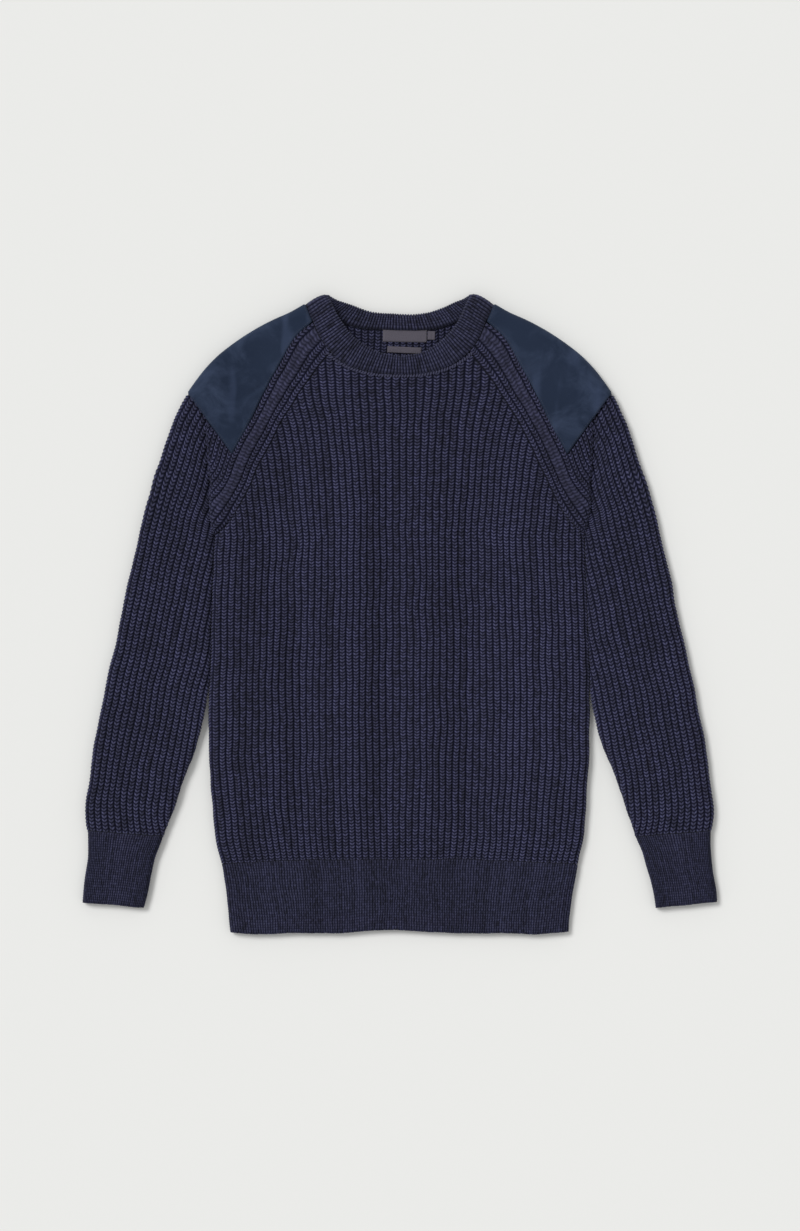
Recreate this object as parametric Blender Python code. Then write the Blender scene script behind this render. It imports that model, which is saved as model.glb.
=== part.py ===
"""Ribbed crew-neck sweater with raglan sleeves and shoulder patches, laid flat on its back.

Lengths below are in millimetres. X is across the chest, Y runs from hem to neck and Z is up
from the surface that the sweater lies on. Each cloth piece is a closed wall: an outer sheet
that carries the ribs, a plain inner sheet, and a rim between them.
"""

import math
from collections import namedtuple

import bmesh
import bpy

MM = 0.001

# Driving dimensions
CLOTH = 4.0  # body and sleeve knit between the ribs
WELT = 3.2  # hem and cuff knit between the ribs
COLLAR_HALF = 3.7  # half the doubled neckband
SUEDE = 1.5  # shoulder patch
SEAM_GAP = 0.3  # between pieces that meet at a seam
RIB_RISE = 1.5  # how far a body rib stands out
WELT_RISE = 0.6  # how far a hem or cuff rib stands out
COLLAR_RISE = 0.9
RIBS_PER_SIDE = 29  # body ribs from the centre line to a side seam
SLEEVE_RIBS = 14  # ribs on the upper face of a sleeve
HEM_RIBS = 140  # hem ribs on the front
CUFF_RIBS = 34  # cuff ribs on the upper face
COLLAR_RIBS = 52  # neckband ribs on each half
BODY_ROLL = 9.0  # how far in from the side the front starts to round down
SLEEVE_ROLL = 8.0
BACK_ROLL = 8.0
SIDE_Z = 5.6  # height of the side seams over the surface
UNDERARM_Y = 87.0
NECK_Y = 289.3  # where the front raglan seams reach the neckband
PATCH_LIFT = SUEDE + SEAM_GAP

HeightRow = namedtuple("HeightRow", "y top")
HEIGHTS = [
    HeightRow(-352, 9.2),
    HeightRow(-272, 9.9),
    HeightRow(-240, 10.8),
    HeightRow(-180, 12.2),
    HeightRow(0, 12.7),
    HeightRow(180, 12.7),
    HeightRow(260, 13.4),
    HeightRow(350, 13.8),
]

SideRow = namedtuple("SideRow", "y half_width")
BODY_SIDE = [
    SideRow(-352, 186.4),
    SideRow(-330, 187.8),
    SideRow(-300, 191.8),
    SideRow(-272, 196.7),
    SideRow(-252, 200.9),
    SideRow(-225, 204.2),
    SideRow(-187, 207.5),
    SideRow(-150, 209.3),
    SideRow(-98, 209.6),
    SideRow(-50, 208.6),
    SideRow(0, 207.2),
    SideRow(50, 205.0),
    SideRow(UNDERARM_Y, 203.3),
]

# Body rib pitch as a share of its pitch at the underarm: the ribs fan out towards the neck
FanRow = namedtuple("FanRow", "y spread")
RIB_FAN = [FanRow(87, 1.0), FanRow(150, 1.05), FanRow(203, 1.12), FanRow(247, 1.23), FanRow(325, 1.34)]

# One row for each sleeve section from the neck down: its end at the raglan or underarm seam, the
# point where the band of ribs beside the raglan ends, the shoulder fold, how far the seam behind
# lies from the front one, and the height of the underside over the surface. A row whose band
# point is 0 has its ribs evenly spaced from seam to fold.
SleeveRow = namedtuple("SleeveRow", "seam_x seam_y band_x band_y fold_x fold_y back_dx back_dy lift")
SLEEVE = [
    SleeveRow(76.6, 289.3, 100.1, 319.2, 102.4, 339.6, -8.2, 36.0, 1.8),
    SleeveRow(84.0, 280.0, 113.0, 309.0, 119.6, 330.0, -7.4, 29.5, 1.8),
    SleeveRow(92.0, 270.0, 124.5, 294.0, 138.3, 321.2, -7.0, 23.5, 1.8),
    SleeveRow(105.0, 251.0, 135.8, 276.0, 158.9, 310.1, -9.2, 23.5, 1.8),
    SleeveRow(116.0, 235.0, 145.0, 256.5, 179.8, 296.6, -8.0, 15.5, 1.8),
    SleeveRow(126.0, 219.5, 154.0, 236.5, 197.7, 282.6, -4.0, 6.0, 1.8),
    SleeveRow(136.0, 201.0, 163.5, 216.5, 212.0, 268.0, 0.0, 0.0, 1.8),
    SleeveRow(145.5, 182.3, 173.5, 197.5, 223.2, 253.8, 0.0, 0.0, 1.8),
    SleeveRow(154.5, 164.5, 184.5, 177.5, 231.2, 242.6, 0.0, 0.0, 1.8),
    SleeveRow(164.5, 143.0, 194.0, 153.0, 245.0, 220.5, 0.0, 0.0, 0.5),
    SleeveRow(175.0, 122.5, 204.5, 138.0, 255.5, 194.5, 0.0, 0.0, 0.0),
    SleeveRow(187.0, 104.5, 217.5, 125.0, 264.0, 168.0, 0.0, 0.0, 0.0),
    SleeveRow(195.0, 95.0, 0.0, 0.0, 273.0, 140.0, 0.0, 0.0, 0.0),
    SleeveRow(203.3, 87.0, 0.0, 0.0, 281.5, 108.0, 0.0, 0.0, 0.0),
    SleeveRow(205.0, 50.0, 0.0, 0.0, 290.5, 72.0, 0.0, 0.0, 0.0),
    SleeveRow(207.2, 0.0, 0.0, 0.0, 301.5, 23.0, 0.0, 0.0, 0.0),
    SleeveRow(208.6, -50.0, 0.0, 0.0, 312.0, -27.5, 0.0, 0.0, 0.0),
    SleeveRow(210.4, -98.0, 0.0, 0.0, 322.5, -74.0, 0.0, 0.0, 0.0),
    SleeveRow(223.0, -141.0, 0.0, 0.0, 332.0, -122.0, 0.0, 0.0, 0.0),
    SleeveRow(238.4, -183.0, 0.0, 0.0, 340.5, -171.0, 0.0, 0.0, 0.0),
    SleeveRow(251.5, -222.0, 0.0, 0.0, 345.2, -212.0, 0.0, 0.0, 0.0),
    SleeveRow(259.2, -242.7, 0.0, 0.0, 343.2, -236.5, 0.0, 0.0, 0.0),
]
UNDERARM_ROW = 13
PATCH_END_ROW = 8  # the patch ends here, and shows the ribs from here down
BAND_RIBS = 5  # ribs beside the raglan, inside the band

CuffRow = namedtuple("CuffRow", "outer_x outer_y inner_x inner_y")
CUFF = [
    CuffRow(343.0, -236.9, 259.5, -243.1),
    CuffRow(343.4, -256.0, 266.2, -260.5),
    CuffRow(347.6, -292.0, 276.0, -297.2),
    CuffRow(349.4, -315.6, 281.0, -321.8),
]

# Half of the neckband, from the centre front round to the centre back: its seam, its free edge
# and the height of each
BandRow = namedtuple("BandRow", "seam_x seam_y edge_x edge_y seam_z edge_z")
NECKBAND = [
    BandRow(0.0, 264.6, 0.0, 285.5, 11.4, 14.6),
    BandRow(20.0, 265.4, 15.0, 287.2, 11.4, 14.6),
    BandRow(40.0, 269.2, 30.0, 292.0, 11.5, 14.8),
    BandRow(59.0, 276.4, 43.0, 299.8, 11.7, 15.0),
    BandRow(76.6, 289.3, 54.0, 310.0, 12.0, 15.4),
    BandRow(88.5, 304.0, 62.0, 320.5, 12.3, 15.8),
    BandRow(95.5, 317.0, 68.5, 331.0, 12.2, 15.8),
    BandRow(98.4, 328.5, 73.5, 342.5, 11.4, 14.2),
    BandRow(98.6, 337.6, 76.0, 348.4, 7.8, 9.0),
    BandRow(90.5, 334.8, 69.8, 347.6, 4.5, 4.9),
    BandRow(78.0, 329.6, 59.5, 344.0, 4.0, 4.2),
    BandRow(62.0, 322.5, 48.5, 339.6, 3.8, 4.0),
    BandRow(42.0, 317.0, 33.0, 335.2, 3.8, 4.0),
    BandRow(20.0, 315.0, 16.0, 332.5, 3.8, 4.0),
    BandRow(0.0, 314.6, 0.0, 331.7, 3.8, 4.0),
]
RAGLAN_ROW = 4  # the neckband row where the front raglan seam starts
BACK_RAGLAN_ROW = 10.6  # and the back one
FOLD_ROW = 8  # the neckband row at the shoulder

# Soft troughs in the upper face; a negative depth is a ridge. The path is x at y for three places
FoldRow = namedtuple("FoldRow", "top_x top_y mid_x mid_y low_x low_y half_width depth")
FOLDS = [
    FoldRow(-112, 225, -132, 90, -118, -40, 20, 2.6),
    FoldRow(-118, 20, -104, -127, -112, -262, 17, 3.6),
    FoldRow(-150, 10, -148, -120, -150, -250, 16, -1.0),
    FoldRow(-12, 170, -11, -50, -12, -255, 18, 3.2),
    FoldRow(-55, 190, -57, -60, -56, -240, 20, -0.9),
    FoldRow(84, 160, 76, -20, 78, -262, 18, 3.2),
    FoldRow(38, 180, 34, -40, 38, -240, 19, -0.9),
    FoldRow(216, 222, 206, 90, 222, -118, 13, 2.6),
    FoldRow(-214, 206, -210, 150, -207, 92, 7, 2.8),
    FoldRow(-197, 186, -195, 150, -194, 118, 9, -1.1),
    FoldRow(196, 186, 192, 150, 193, 118, 9, -0.9),
]
FOLD_FADE = 45.0  # length over which a fold starts and ends

HemRow = namedtuple("HemRow", "x y")
HEM_EDGE = [
    HemRow(-187, -348.4),
    HemRow(-160, -350.4),
    HemRow(-70, -349.4),
    HemRow(-27, -346.6),
    HemRow(20, -347.4),
    HemRow(66, -349.6),
    HemRow(149, -350.6),
    HemRow(187, -348.6),
]

LabelRow = namedtuple("LabelRow", "name x y width depth turn")
LABELS = [
    LabelRow("neck_label", 5.8, 307.5, 48.6, 13.4, -1.0),
    LabelRow("size_tab", 34.8, 308.0, 8.0, 9.6, -2.0),
    LabelRow("care_label", 5.2, 292.0, 37.6, 6.8, -2.5),
]
LABEL_THICKNESS = 0.7

NAVY = (0.030, 0.034, 0.072, 1.0)
SUEDE_BLUE = (0.026, 0.054, 0.098, 1.0)
LABEL_GREY = (0.115, 0.105, 0.115, 1.0)


def mix(a, b, share):
    return a + (b - a) * share


def smooth_step(share):
    share = min(max(share, 0.0), 1.0)
    return share * share * (3 - 2 * share)


def along(xs, ys, x):
    """A curve through the points (xs, ys) that never overshoots between two of them."""
    if x <= xs[0]:
        return ys[0]
    if x >= xs[-1]:
        return ys[-1]
    steps = [(ys[i + 1] - ys[i]) / (xs[i + 1] - xs[i]) for i in range(len(xs) - 1)]
    slopes = [steps[0]]
    for before, after in zip(steps, steps[1:]):
        slopes.append(0.0 if before * after <= 0 else 2 * before * after / (before + after))
    slopes.append(steps[-1])
    i = max(k for k in range(len(xs) - 1) if xs[k] <= x)
    width = xs[i + 1] - xs[i]
    t = (x - xs[i]) / width
    return (
        ys[i] * (1 + 2 * t) * (1 - t) ** 2
        + ys[i + 1] * t * t * (3 - 2 * t)
        + width * slopes[i] * t * (1 - t) ** 2
        - width * slopes[i + 1] * t * t * (1 - t)
    )


def column(table, name):
    return [getattr(row, name) for row in table]


def on_lines(xs, ys, x):
    """Straight lines through the points (xs, ys), with xs rising."""
    for i in range(len(xs) - 1):
        if x <= xs[i + 1] or i == len(xs) - 2:
            return mix(ys[i], ys[i + 1], (x - xs[i]) / (xs[i + 1] - xs[i]))


def fold_depth(x, y):
    """How far the folds lower the upper face at (x, y)."""
    total = 0.0
    for fold in FOLDS:
        start = smooth_step((y - fold.low_y) / FOLD_FADE)
        end = smooth_step((fold.top_y - y) / FOLD_FADE)
        if start * end == 0.0:
            continue
        ys = [fold.low_y, fold.mid_y, fold.top_y]
        centre = along(ys, [fold.low_x, fold.mid_x, fold.top_x], y)
        total += fold.depth * start * end * math.exp(-(((x - centre) / fold.half_width) ** 2))
    return total


def top_height(x, y):
    """Height of the upper cloth between its ribs."""
    return along(column(HEIGHTS, "y"), column(HEIGHTS, "top"), y) - fold_depth(x, y)


RAGLAN_ROWS = SLEEVE[: UNDERARM_ROW + 1]
SEAM_LINE = [(row.seam_x, row.seam_y) for row in RAGLAN_ROWS]
BACK_SEAM_LINE = [(row.seam_x + row.back_dx, row.seam_y + row.back_dy) for row in RAGLAN_ROWS]


def seam_at(y, line):
    """Half the distance between the raglan seams at y."""
    rising = line[::-1]
    return on_lines([p[1] for p in rising], [p[0] for p in rising], y)


def half_width(y, line=SEAM_LINE):
    """Half the body's width at y, to the side seam or the raglan seam."""
    if y > UNDERARM_Y:
        return seam_at(y, line) - SEAM_GAP * 0.75
    return along(column(BODY_SIDE, "y"), column(BODY_SIDE, "half_width"), y) - SEAM_GAP * 0.75


def flatness(y):
    """0 where the cloth rounds down to a side seam, 1 where it runs flat to a raglan seam."""
    return smooth_step((y - UNDERARM_Y) / 42.0)


def quarter_length(a, b):
    """Length of a quarter of an ellipse with half-axes a and b."""
    h = ((a - b) / (a + b)) ** 2
    return math.pi / 4 * (a + b) * (1 + 3 * h / (10 + math.sqrt(4 - 3 * h)))


def girth(y, lower):
    """Length over the cloth from the centre line to a side at y, and that of its rounding."""
    line = BACK_SEAM_LINE if lower else SEAM_LINE
    roll = BACK_ROLL if lower else BODY_ROLL
    height = along(column(HEIGHTS, "y"), column(HEIGHTS, "top"), y)
    arc = quarter_length(roll, SIDE_Z if lower else height - SIDE_Z)
    arc = mix(arc, roll, flatness(y))
    return half_width(y, line) - roll + arc, arc


def rib_pitch(y, lower):
    pitch = girth(min(y, UNDERARM_Y), lower)[0] / RIBS_PER_SIDE
    return pitch * along(column(RIB_FAN, "y"), column(RIB_FAN, "spread"), y)


def body_point(rib, y, rise, lower=False):
    """A point of the front, or of the back if lower, rib ribs from the centre line."""
    side = -1.0 if rib < 0 else 1.0
    line = BACK_SEAM_LINE if lower else SEAM_LINE
    roll = BACK_ROLL if lower else BODY_ROLL
    reach, arc = girth(y, lower)
    x = abs(rib) * rib_pitch(y, lower)
    left = max(reach - x, 0.0)
    lift, flat = 1.0, flatness(y)
    if left < arc:
        turn = math.pi / 2 * left / arc
        if rise > 0:
            rise *= mix(smooth_step(turn / 0.35), 1.0, flat)
        edge = half_width(y, line)
        rolled = min(edge - roll + (roll + rise) * math.cos(turn), edge)
        x = mix(rolled, edge - roll * left / arc, flat)
        lift = mix(math.sin(turn), 1.0, flat)
    if lower:
        base = SIDE_Z - SEAM_GAP
        return side * x, y, base - (base + rise) * lift
    top = top_height(side * x, y)
    return side * x, y, SIDE_Z + (top + rise - SIDE_Z) * lift


def band_half(share):
    """Seam point, free-edge point of the neckband at a share of its half, both in 3D."""
    ids = list(range(len(NECKBAND)))
    at = share * ids[-1]
    values = [smooth_curve(column(NECKBAND, name), at) for name in BandRow._fields]
    seam_x, seam_y, edge_x, edge_y, seam_z, edge_z = values
    return (seam_x, seam_y, seam_z), (edge_x, edge_y, edge_z)


def smooth_curve(values, at):
    """A Catmull-Rom curve through values, mirrored past both ends."""
    last = len(values) - 1
    i = min(int(at), last - 1)
    t = at - i
    before = values[i - 1] if i > 0 else 2 * values[0] - values[1]
    after = values[i + 2] if i + 2 <= last else 2 * values[last] - values[last - 1]
    return 0.5 * (
        2 * values[i]
        + (values[i + 1] - before) * t
        + (2 * before - 5 * values[i] + 4 * values[i + 1] - after) * t * t
        + (3 * values[i] - before - 3 * values[i + 1] + after) * t**3
    )


def neck_line(first, last, steps):
    """Plan points of the neckband's seam between two of its rows."""
    end = len(NECKBAND) - 1
    return [band_half(mix(first, last, k / steps) / end)[0][:2] for k in range(steps + 1)]


FRONT_NECK = neck_line(0, RAGLAN_ROW, 40)
BACK_NECK = neck_line(len(NECKBAND) - 1, FOLD_ROW + 1, 60)


def neck_y(x, line):
    """Where the body ends at the neckband, a gap away from its seam line."""
    xs, ys = [p[0] for p in line], [p[1] for p in line]
    slope = on_lines(xs, ys, abs(x) + 1) - on_lines(xs, ys, abs(x) - 1)
    return on_lines(xs, ys, abs(x)) - SEAM_GAP * math.hypot(1, slope / 2)


def end_of_rib(rib, lower):
    """Where a body rib ends, at the raglan seam or at the neckband."""
    line = BACK_SEAM_LINE if lower else SEAM_LINE
    neck = BACK_NECK if lower else FRONT_NECK
    low, high = UNDERARM_Y, line[0][1]

    def inside(y):
        return abs(rib) * rib_pitch(y, lower) < girth(y, lower)[0]

    if inside(high):
        y = high
        for _ in range(30):
            y = neck_y(body_point(rib, y, 0.0, lower)[0], neck)
        return y
    for _ in range(40):
        middle = (low + high) / 2
        low, high = (middle, high) if inside(middle) else (low, middle)
    return low


def hem_seam(x):
    """The line where the hem joins the body."""
    return -268.0 - 5.5 * (x / 197.0) ** 2


def object_from(name, points, faces, material):
    mesh = bpy.data.meshes.new(name)
    mesh.from_pydata([tuple(c * MM for c in p) for p in points], [], faces)
    shape = bmesh.new()
    shape.from_mesh(mesh)
    bmesh.ops.recalc_face_normals(shape, faces=shape.faces)
    shape.to_mesh(mesh)
    shape.free()
    mesh.shade_smooth()
    mesh.set_sharp_from_angle(angle=math.radians(32))
    mesh.materials.append(material)
    made = bpy.data.objects.new(name, mesh)
    bpy.context.scene.collection.objects.link(made)
    return made


def shares_of(ids, points):
    """The share of a line's length in plan that lies before each of its points."""
    total, at = 0.0, [0.0]
    for a, b in zip(ids, ids[1:]):
        total += math.dist(points[a][:2], points[b][:2]) + 0.05
        at.append(total)
    return [length / total for length in at]


def strip(first, second, points):
    """Triangles between two lines of point numbers, matched along their length."""
    if len(first) == len(second):
        on_first = on_second = [i / (len(first) - 1) for i in range(len(first))]
    else:
        on_first, on_second = shares_of(first, points), shares_of(second, points)
    faces, i, j = [], 0, 0
    while i < len(first) - 1 or j < len(second) - 1:
        more_first, more_second = i < len(first) - 1, j < len(second) - 1
        if more_first and (not more_second or on_first[i + 1] <= on_second[j + 1]):
            faces.append((first[i], first[i + 1], second[j]))
            i += 1
        else:
            faces.append((first[i], second[j + 1], second[j]))
            j += 1
    return faces


def sheet_faces(rows, points):
    return [face for a, b in zip(rows, rows[1:]) for face in strip(a, b, points)]


def numbered(grid, start):
    """Point numbers in the shape of grid, counted from start."""
    rows = []
    for row in grid:
        rows.append(list(range(start, start + len(row))))
        start += len(row)
    return rows, start


def wall(name, outer, inner, material):
    """A closed wall between two sheets, each a list of rows. Both have as many rows."""
    points = [p for row in outer + inner for p in row]
    outer_ids, count = numbered(outer, 0)
    inner_ids, count = numbered(inner, count)
    faces = sheet_faces(outer_ids, points) + sheet_faces(inner_ids, points)
    for end in (0, -1):
        faces += strip(outer_ids[end], inner_ids[end], points)
        faces += strip([row[end] for row in outer_ids], [row[end] for row in inner_ids], points)
    return object_from(name, points, faces, material)


def tube(name, outer, inner, material):
    """A closed ring of cloth between two tubes, each a list of closed rows."""
    outer = [row + row[:1] for row in outer]
    inner = [row + row[:1] for row in inner]
    points = [p for row in outer + inner for p in row]
    outer_ids, count = numbered(outer, 0)
    inner_ids, count = numbered(inner, count)
    faces = sheet_faces(outer_ids, points) + sheet_faces(inner_ids, points)
    for end in (0, -1):
        faces += strip(outer_ids[end], inner_ids[end], points)
    joined = {row[-1]: row[0] for row in outer_ids + inner_ids}
    faces = [tuple(joined.get(i, i) for i in face) for face in faces]
    used = sorted({i for face in faces for i in face})
    order = {old: new for new, old in enumerate(used)}
    faces = [tuple(order[i] for i in face) for face in faces]
    return object_from(name, [points[i] for i in used], faces, material)


FRONT_ROWS = 11
BACK_ROWS = 8
COARSE_RIBS = [-29, -28.5, *range(-28, -22), *range(-22, 23, 2), *range(23, 29), 28.5, 29]


def body_sheet(ribs, steps, rise_of, lower, short=0.0):
    """Rows of points of the front or back from the hem up, one point to a rib."""
    rows = []
    for k in range(steps + 1):
        row = []
        for rib in ribs:
            foot = hem_seam(body_point(rib, -270.0, 0.0, lower)[0]) + SEAM_GAP * 0.65
            y = mix(foot, end_of_rib(rib, lower) - short, k / steps)
            row.append(body_point(rib, y, rise_of(rib), lower))
        rows.append(row)
    return rows


def make_front(material):
    half_ribs = [k / 2 for k in range(-2 * RIBS_PER_SIDE, 2 * RIBS_PER_SIDE + 1)]
    outer = body_sheet(half_ribs, FRONT_ROWS, lambda rib: RIB_RISE * (rib % 1.0 != 0.0), False)
    inner = body_sheet(COARSE_RIBS, FRONT_ROWS, lambda rib: -CLOTH, False, 0.7)
    return wall("front_panel", outer, inner, material)


def make_back(material):
    outer = body_sheet(COARSE_RIBS, BACK_ROWS, lambda rib: 0.0, True)
    inner = body_sheet(COARSE_RIBS, BACK_ROWS, lambda rib: -CLOTH, True, 0.7)
    return wall("back_panel", outer, inner, material)


def hem_point(share, y, rise, lower):
    """A point of the hem at a share, -1 to 1, of the way across it."""
    side = -1.0 if share < 0 else 1.0
    roll = 6.0
    height = top_height(side * abs(share) * 180.0, y)
    edge = SIDE_Z - SEAM_GAP / 2
    rise_to = edge if lower else height - edge
    arc = quarter_length(roll, rise_to)
    wide = half_width(y)
    in_roll = (1 - abs(share)) * (wide - roll + arc) / arc
    turn = math.pi / 2 * min(in_roll, 1.0)
    x = wide - roll + (roll + rise) * math.cos(turn)
    if in_roll > 1.0:
        x = abs(share) * (wide - roll + arc)
    if lower:
        start = edge - SEAM_GAP / 2
        return side * x, y, start - (start + rise) * math.sin(turn)
    start = edge + SEAM_GAP / 2
    return side * x, y, start + (height + rise - start) * math.sin(turn)


def hem_edge(x):
    return along(column(HEM_EDGE, "x"), column(HEM_EDGE, "y"), x)


def make_hem(name, lower, material):
    rows_down = 2

    def sheet(shares, rise_of):
        rows = []
        for k in range(rows_down + 1):
            row = []
            for share in shares:
                low = hem_edge(hem_point(share, -350.0, 0.0, lower)[0])
                high = hem_seam(hem_point(share, -270.0, 0.0, lower)[0]) - SEAM_GAP * 0.65
                y = mix(high, low, k / rows_down)
                row.append(hem_point(share, y, rise_of(share), lower))
            rows.append(row)
        return rows

    coarse = [-1, -0.985, -0.97, *(k / 12 for k in range(-11, 12)), 0.97, 0.985, 1]
    inner = sheet(coarse, lambda share: -WELT)
    if lower:
        return wall(name, sheet(coarse, lambda share: 0.0), inner, material)
    steps = 2 * HEM_RIBS
    fine = [k / HEM_RIBS - 1 for k in range(steps + 1)]
    valleys = {share: k % 2 for k, share in enumerate(fine)}
    outer = sheet(fine, lambda share: WELT_RISE * valleys[share])
    return wall(name, outer, inner, material)


def sleeve_path(index, lower):
    """Plan points along a sleeve section from its seam to the fold, and the place of its band."""
    row = SLEEVE[index]
    fold = (row.fold_x, row.fold_y)
    if index == 0:
        end = len(NECKBAND) - 1
        at = [BACK_RAGLAN_ROW, 10.2, 9.8, 9.4, 9] if lower else [RAGLAN_ROW, 4.5, 5, 5.5, 6, 6.5, 7]
        path = []
        for place in at:
            seam, edge = band_half(place / end)
            away = math.hypot(seam[0] - edge[0], seam[1] - edge[1])
            clear = 0.45 + 0.5 * smooth_step((seam[1] - 320) / 10)
            spot = [seam[i] + (seam[i] - edge[i]) / away * clear for i in (0, 1)]
            path.append(tuple(spot))
        return path + [fold], 0.45 if lower else 0.62
    gap = SEAM_GAP * 0.75
    seam = (row.seam_x + gap, row.seam_y)
    band = (row.band_x, row.band_y)
    if lower:
        seam = (seam[0] + row.back_dx, seam[1] + row.back_dy)
        band = (band[0] + 0.6 * row.back_dx, band[1] + 0.6 * row.back_dy)
    if not row.band_x:
        return [seam, fold], None
    path = [seam, band, fold]
    return path, math.dist(seam, band) / (math.dist(seam, band) + math.dist(band, fold))


def on_path(path, distance):
    for a, b in zip(path, path[1:]):
        step = math.dist(a, b)
        if distance <= step or b == path[-1]:
            return mix(a[0], b[0], distance / step), mix(a[1], b[1], distance / step)
        distance -= step


BAND_SHARE = BAND_RIBS / SLEEVE_RIBS


def sleeve_point(side, index, share, rise, lower=False):
    """A point of a sleeve. Share runs from 0 at its seam to 1 at the shoulder fold."""
    row = SLEEVE[index]
    path, band = sleeve_path(index, lower)
    wide = sum(math.dist(a, b) for a, b in zip(path, path[1:]))
    roll = min(SLEEVE_ROLL, wide * 0.3)
    arc = quarter_length(roll, SIDE_Z + 0.8)
    flat = flatness(row.seam_y)
    seam_arc = mix(arc, roll, flat)
    total = seam_arc + wide - 2 * roll + arc
    to_band = BAND_SHARE * total if band is None else wide * band - roll + seam_arc
    if share < BAND_SHARE:
        over = to_band * share / BAND_SHARE
    else:
        over = mix(to_band, total, (share - BAND_SHARE) / (1 - BAND_SHARE))
    place, lift = roll + over - seam_arc, 1.0
    if over < seam_arc:
        turn = math.pi / 2 * over / seam_arc
        bump = rise * smooth_step(turn / 0.35) if rise > 0 else rise
        rolled = max(roll - (roll + bump) * math.cos(turn), 0.0)
        place = mix(rolled, roll * over / seam_arc, flat)
        lift = mix(math.sin(turn), 1.0, flat)
    elif total - over < arc:
        turn = math.pi / 2 * max(total - over, 0.0) / arc
        place = wide - roll + (roll + rise) * math.cos(turn)
        lift = math.sin(turn)
    x, y = on_path(path, place)
    top = top_height(side * x, y)
    base = row.lift * smooth_step(share / BAND_SHARE)
    middle = SIDE_Z + row.lift / 2 * smooth_step((share - 0.5) / 0.3)
    if lower:
        middle -= SEAM_GAP * (share < 0.5)
        return side * x, y, middle - (middle - base + rise) * lift
    return side * x, y, middle + (top + rise - middle) * lift


TOP_FINE = [k / (2 * SLEEVE_RIBS) for k in range(2 * SLEEVE_RIBS + 1)]
TOP_COARSE = [0.0, 0.06, 0.12, 0.28, BAND_SHARE, 0.7, 0.84, 0.92, 1.0]
UNDER = [0.96, 0.92, 0.85, 0.65, BAND_SHARE, 0.2, 0.1, 0.0]


def make_sleeve(name, side, material):
    def outer_row(index):
        row = []
        for k, share in enumerate(TOP_FINE):
            rise = RIB_RISE * (k % 2)
            if index == 0 or (index <= PATCH_END_ROW and k > 2 * BAND_RIBS):
                rise = 0.0
            row.append(sleeve_point(side, index, share, rise))
        return row + [sleeve_point(side, index, share, 0.0, lower=True) for share in UNDER]

    def inner_row(index):
        row = [sleeve_point(side, index, share, -CLOTH) for share in TOP_COARSE]
        return row + [sleeve_point(side, index, share, -CLOTH, lower=True) for share in UNDER]

    indices = range(len(SLEEVE))
    outer = [outer_row(index) for index in indices]
    return wall(name, outer, [inner_row(index) for index in indices], material)


def make_cuff(name, side, material):
    roll = 6.5
    fine = [k / (2 * CUFF_RIBS) for k in range(2 * CUFF_RIBS + 1)]
    coarse = [k / 10 for k in range(11)]
    under = [k / 8 for k in range(7, 0, -1)]

    def point(row, share, rise, lower):
        wide = math.hypot(row.outer_x - row.inner_x, row.outer_y - row.inner_y)
        turn = math.pi * share
        nearest = min(share, 1 - share)
        reach = wide / 2
        across = mix(-reach - rise, reach + rise, (1 - math.cos(turn)) / 2)
        flat = mix(-reach - rise, reach + rise, share)
        across = mix(across, flat, 0.7)
        inside = reach - abs(across)
        lift = 1.0
        if inside < roll:
            near = 1 - (inside + rise) / (roll + rise)
            lift = math.sqrt(max(1 - near * near, 0.0))
        if nearest == 0:
            lift = 0.0
        x = mix(row.inner_x, row.outer_x, 0.5 + across / wide)
        y = mix(row.inner_y, row.outer_y, 0.5 + across / wide)
        top = along(column(HEIGHTS, "y"), column(HEIGHTS, "top"), y)
        middle = top / 2
        height = -(middle + rise) if lower else top + rise - middle
        return side * x, y, middle + height * lift

    def rows_of(shares, rise_of, low_rise):
        rows = []
        for row in CUFF:
            loop = [point(row, s, rise_of(k), False) for k, s in enumerate(shares)]
            loop += [point(row, s, low_rise, True) for s in under]
            rows.append(loop)
        return rows

    outer = rows_of(fine, lambda k: WELT_RISE * (k % 2), 0.0)
    inner = rows_of(coarse, lambda k: -WELT, -WELT)
    return tube(name, outer, inner, material)


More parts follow.
